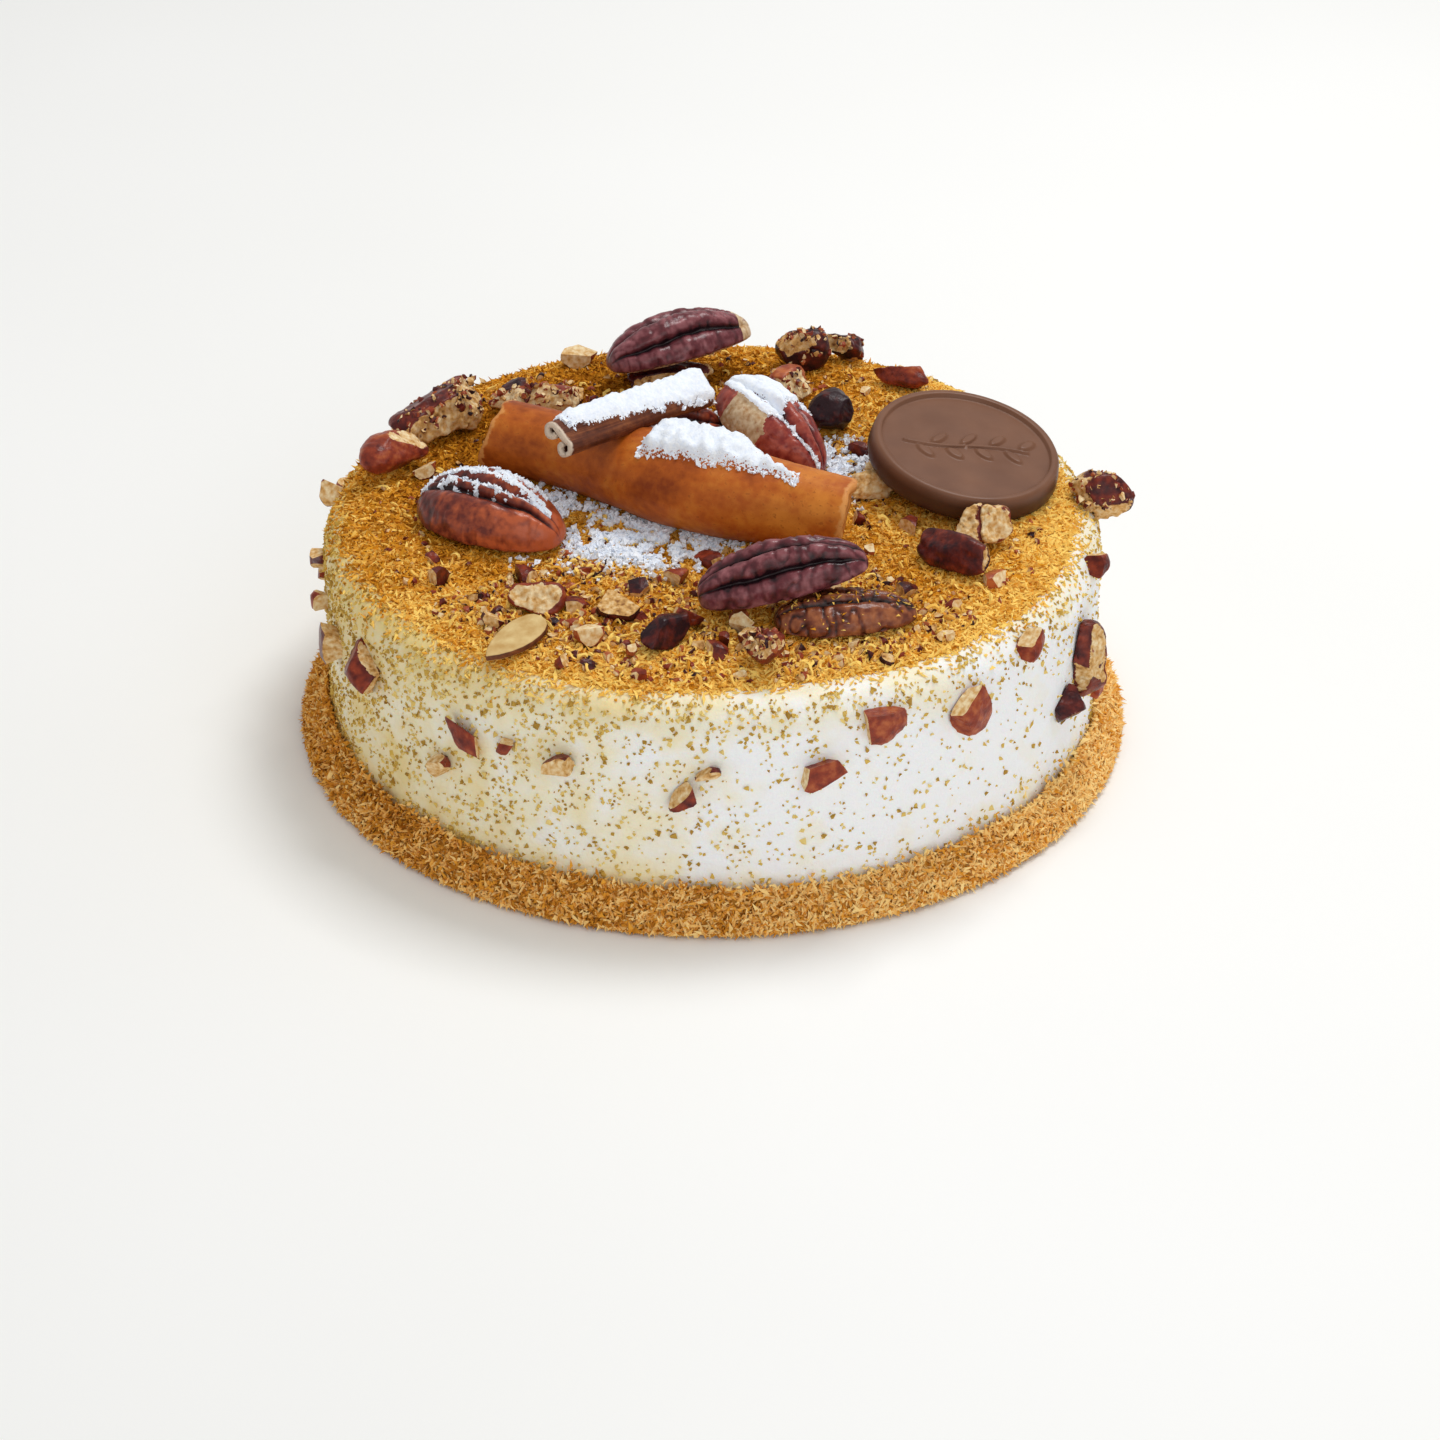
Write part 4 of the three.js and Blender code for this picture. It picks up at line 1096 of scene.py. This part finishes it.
spots = np.array([g.mean(0) for g in side_nuts])
feet = ring_point(cream_radius(spots[:, 2]) - 0.8, angle_of(*spots[:, :2].T), spots[:, 2])
middles, turns, spans = lie_of_small(side_nuts, outward(spots), feet)
off_pale = np.abs(angle_of(*middles.T[:2])[:, None] - PALE_ANGLES).min(1)
kind = np.where(off_pale < 2, len(SKIN_NUTS), 0) + rng.integers(4, size=len(middles))
strew("small_nuts_on_side", NUT, SKIN_NUTS + PALE_NUTS, middles, spans,
      rng.uniform(0.35, 0.7, len(middles)), 5, turns, kind, (0.97, 1.03), 0.02)
spots = np.array([g.mean(0) for g in top_nuts])
ups = [0, 0, 1] + rng.normal(size=spots.shape) * 0.2
middles, turns, spans = lie_of_small(top_nuts, ups, spots * [1, 1, 0] + [0, 0, CAKE_TOP - 0.6])
strew("small_nuts_on_top", NUT, PALE_NUTS + SKIN_NUTS, middles, spans,
      rng.uniform(0.1, 0.95, len(middles)), 5, turns, None, (0.97, 1.03), 0.02)

# Chopped nuts and nut meal, thickest across the front and between the toppings.
LAYERS = ("crumb_base", "cream_body", "crumb_top")
toppings = [
    BVHTree.FromPolygons([v.co / MM for v in solid.data.vertices], [p.vertices for p in solid.data.polygons])
    for node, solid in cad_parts.items()
    if node not in LAYERS
]


def under_topping(x, y, room=7.0):
    start = Vector((x, y, CAKE_TOP - 1))
    return any(tree.ray_cast(start, Vector((0, 0, 1)), room)[0] for tree in toppings)


def on_top(places, lift=0.0):
    """Lays places on the crumbs, or on the cream beyond them."""
    high = []
    for x, y in places:
        hits = [tree.ray_cast(Vector((x, y, 58)), Vector((0, 0, -1)))[0] for tree in (bed_tree, side_tree)]
        high.append(max([h.z for h in hits if h], default=CREAM_BOTTOM) + lift)
    return np.column_stack([places, high])


def chopped_places(in_front, all_over, distance):
    front = in_arc(in_front, 36, 71, -142, -42)
    free = [p for p in np.concatenate([front, in_disc(all_over, 70)]) if not under_topping(*p)]
    return on_top(spaced(free, distance))


places = chopped_places(130, 70, 3.0)
turns = turns_along(rng, [0, 0, 1] + rng.normal(size=places.shape) * 0.45)
strew("chopped_nuts", NUT, BITS, places + [0, 0, 0.5], rng.uniform(1.6, 3.3, len(places)),
      rng.uniform(-0.1, 0.9, len(places)), 6, turns, None, (0.5, 1.2), 0.05)
ROUGH_NUTS = {
    "pecan_broken_left": 150, "nut_strip_back_left": 70, "nut_back_right": 60, "nut_back_right_outer": 25,
    "nut_back_middle": 30, "nut_front_right": 60, "nut_rim_right": 60,
}


def on_solid(node, count):
    """Places on a solid's top and front."""
    tree = BVHTree.FromBMesh(solid_of(node))
    low, high = (np.array(corner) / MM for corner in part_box(node))
    way = Vector((0, 0.45, -1)).normalized()
    starts = rng.uniform(low, high, (count, 3)) - np.array(way) * 40
    hits = [tree.ray_cast(Vector(p), way)[0] for p in starts]
    return np.array([h for h in hits if h])


beside_coin = on_top(np.clip(rng.normal(size=(620, 2)) * 0.5, -1.2, 1.2) * (9, 15) + (27, 9))
stuck = np.concatenate([on_solid(node, count) for node, count in ROUGH_NUTS.items()])
places = np.concatenate([chopped_places(1300, 700, 1.0) + [0, 0, 0.4], stuck, beside_coin])
tones = rng.uniform(0.0, 0.9, len(places))
tones[-len(beside_coin) :] *= 0.35
size = rng.uniform(0.7, 1.9, len(places))
strew("nut_meal", NUT, MEAL, places, size, tones, 7, None, None, (0.5, 1.2), 0.1)


# Golden crumbs on top, lighter towards the rim, with painted light and shade across the top, and with some
# spilt over the shoulder.
def top_places(count, spill):
    places = in_disc(count, 83)
    radius = np.hypot(*places.T)
    angle = angle_of(*places.T)
    wide = spill * (1 + 1.2 * towards(angle, -170, 180))
    limit = crumb_rim(angle) - 1.2 + rng.exponential(1.0, count) * wide
    return places[radius < np.minimum(limit, 80.3)]


for name, shapes, count, small, large, low, high, spill, tilt in (
    ("golden_shreds_a", SHREDS, 34000, 0.8, 1.7, 0.15, 0.85, 0.7, 0.4),
    ("golden_shreds_b", SHREDS, 31000, 0.7, 1.4, 0.3, 1.0, 1.1, 0.5),
    ("fine_crumbs", FLAKES, 24000, 0.4, 0.95, 0.0, 1.0, 2.2, 1.0),
):
    flat = top_places(count, spill)
    size = rng.uniform(small, large, len(flat))
    tone = rng.uniform(low, high, len(flat))
    turns = turns_along(rng, lying(len(flat), tilt))
    strew(name, TOP_CRUMB, shapes, on_top(flat, 0.15), size, tone, 8, turns,
          stretch=(0.6, 1.35), edge=rim_tone_and_painted_light(*flat.T))
places = chopped_places(1100, 700, 1.2)
size = rng.uniform(1.5, 3.2, len(places))
tone = rng.uniform(0.35, 1.0, len(places))
strew("golden_curls", TOP_CRUMB, CURLS, places + [0, 0, 0.5], size, tone, 12, edge=0.4)


# Crumbs on the lower front pecan.
places = on_solid("pecan_front_lower", 160)
turns = turns_along(rng, lying(len(places), 0.5))
strew("crumbs_on_pecan", TOP_CRUMB, SHREDS, places, rng.uniform(0.4, 1.0, len(places)),
      rng.uniform(0.3, 1.0, len(places)), 13, turns)


# Flecks in the cream's side, thickest at the left and under the rim.
def fleck_places(count):
    """Places on the cream's side and round its shoulder."""
    upright = CREAM_TOP - SHOULDER
    angle = rng.uniform(-180, 180, count)
    run = rng.uniform(CREAM_BOTTOM + 1.5, upright + 1.25 * SHOULDER, count)
    density = 0.12 + 0.6 * towards(angle, -175, 260)
    density += 0.5 * eased((run - 36) / 10) + 0.25 * eased((15 - run) / 7)
    kept = rng.random(count) < density
    places = []
    for a, height in zip(angle[kept], run[kept]):
        tilt = max(height - upright, 0) / SHOULDER
        out = Vector(ring_point(1.0, a, 0.0))
        way = out * math.cos(tilt) + Vector((0, 0, math.sin(tilt)))
        middle = out * (CAKE_RADIUS - SHOULDER) + Vector((0, 0, min(height, upright)))
        hit = side_tree.ray_cast(middle + way * 20, -way)[0]
        if hit and wobble(hit, 5, 2) + rng.normal() * 0.35 > -0.25:
            places.append(hit)
    return np.array(places)


places = fleck_places(30000)
strew("cream_flecks", FLECK, FLAKES, places, rng.triangular(0.4, 0.8, 1.8, len(places)),
      rng.uniform(0, 1, len(places)), 9, stretch=(0.5, 1.3))

# Crumbs of the foot, with some that stick to the cream above it.
for name, shapes, count, small, large, spill in (
    ("foot_shreds", SHREDS, 26000, 0.8, 1.7, 0.5),
    ("foot_crumbs", FLAKES, 7000, 0.7, 1.4, 0.9),
):
    angle = rng.uniform(-180, 180, count)
    share = rng.uniform(0.02, 1.02, count)
    places = foot_point(angle, share)
    places[:, 2] *= 1 + np.array([foot_uneven(x, y) for x, y, _ in places]) / FOOT_TOP
    places[:, 2] += rng.exponential(spill, count) * (share > 0.85)
    places[:, 2] = np.maximum(places[:, 2], 0.6 * large)
    places += outward(places) * rng.uniform(-0.3, 0.9, (count, 1)) * (share < 0.85)[:, None]
    size = rng.uniform(small, large, count)
    strew(name, FOOT_CRUMB, shapes, places, size, rng.uniform(0.1, 0.95, count), 10)

# Icing sugar sifted over the middle: each patch is its middle, its two radii and its grains.
SUGAR_PATCHES = [
    ((-14, -18), (22, 14), 6500),
    ((-34, -4), (12, 8), 1500),
    ((26, 12), (7, 16), 2600),
    ((-4, 34), (12, 10), 600),
]


def in_clump(x, y):
    return wobble((x, y, 0), 2.6, 4) + 0.5 * wobble((x, y, 0), 0.9) > -0.12


sugar_places = []
for middle, radii, count in SUGAR_PATCHES:
    spots = np.clip(rng.normal(size=(count, 2)) * 0.42, -1.2, 1.2) * radii + middle
    clumped = [p for p in spots if in_clump(*p) and not under_topping(*p, room=3)]
    sugar_places.append(on_top(np.array(clumped), 0.1) + [0, 0, 1.1] * rng.random((len(clumped), 1)))
rim_places = np.array(sugar_rims)
sugar_places.append(rim_places[rng.choice(len(rim_places), 2200)] + [0, 0, 0.1])
sugar_places = np.concatenate(sugar_places)
size = rng.triangular(0.5, 0.8, 2.2, len(sugar_places))
strew("sugar_grains", SUGAR, FLAKES, sugar_places, size, 0.5, 11)
QUILL_FLAKES = [(-6.5, -17.9, 61.6), (-2.4, -19.4, 61.5)]
size = [(3.4, 2.2, 1.2), (1.6, 1.2, 0.8)]
turns = turns_along(rng, np.array([(-0.3, -0.7, 0.6)] * 2))
strew("flakes_on_quill", NUT, PALE_NUTS, QUILL_FLAKES, size, 0.9, 14, turns, jitter=0.02)


# ---- Camera, light and floor ----
CAMERA_AIM = Vector((1.547, 0, -3.159)) * MM
CAMERA_DISTANCE = 850.7 * MM
CAMERA_ELEVATION = math.radians(31.69)


def camera():
    data = bpy.data.cameras.new("camera")
    data.lens = 100
    data.sensor_width = 36
    made = placed("camera", data)
    away = Vector((0, -math.cos(CAMERA_ELEVATION), math.sin(CAMERA_ELEVATION)))
    made.location = CAMERA_AIM + away * CAMERA_DISTANCE
    made.rotation_euler = (math.pi / 2 - CAMERA_ELEVATION, 0, 0)
    bpy.context.scene.camera = made


def softbox(name, place, size, power):
    """A square soft light that looks at the cake."""
    data = bpy.data.lights.new(name, "AREA")
    data.shape = "SQUARE"
    data.size = size
    data.energy = power
    made = placed(name, data)
    made.location = place
    made.rotation_euler = (Vector((0, 0, 0.03)) - Vector(place)).to_track_quat("-Z", "Y").to_euler()


def floor():
    bm = bmesh.new()
    bmesh.ops.create_grid(bm, x_segments=1, y_segments=1, size=6)
    mesh = bpy.data.meshes.new("floor")
    bm.to_mesh(mesh)
    bm.free()
    f = Finish("pale_floor", Roughness=0.6)
    mesh.materials.append(f.paint(f.ramp(f.clouds(300, 2), (0.3, "f5f5f2"), (0.7, "fafaf8"))))
    made = placed("floor", mesh)


def surroundings():
    world = bpy.data.worlds.new("studio")
    world.use_nodes = True
    background = world.node_tree.nodes["Background"]
    background.inputs["Color"].default_value = (1, 1, 1, 1)
    background.inputs["Strength"].default_value = 0.55
    bpy.context.scene.world = world
    bpy.context.scene.view_settings.view_transform = "Standard"


camera()
softbox("key", (0.25, 0.3, 0.9), 0.35, 4.5)
softbox("fill", (0.35, -0.95, 0.5), 0.8, 2.4)
floor()
surroundings()
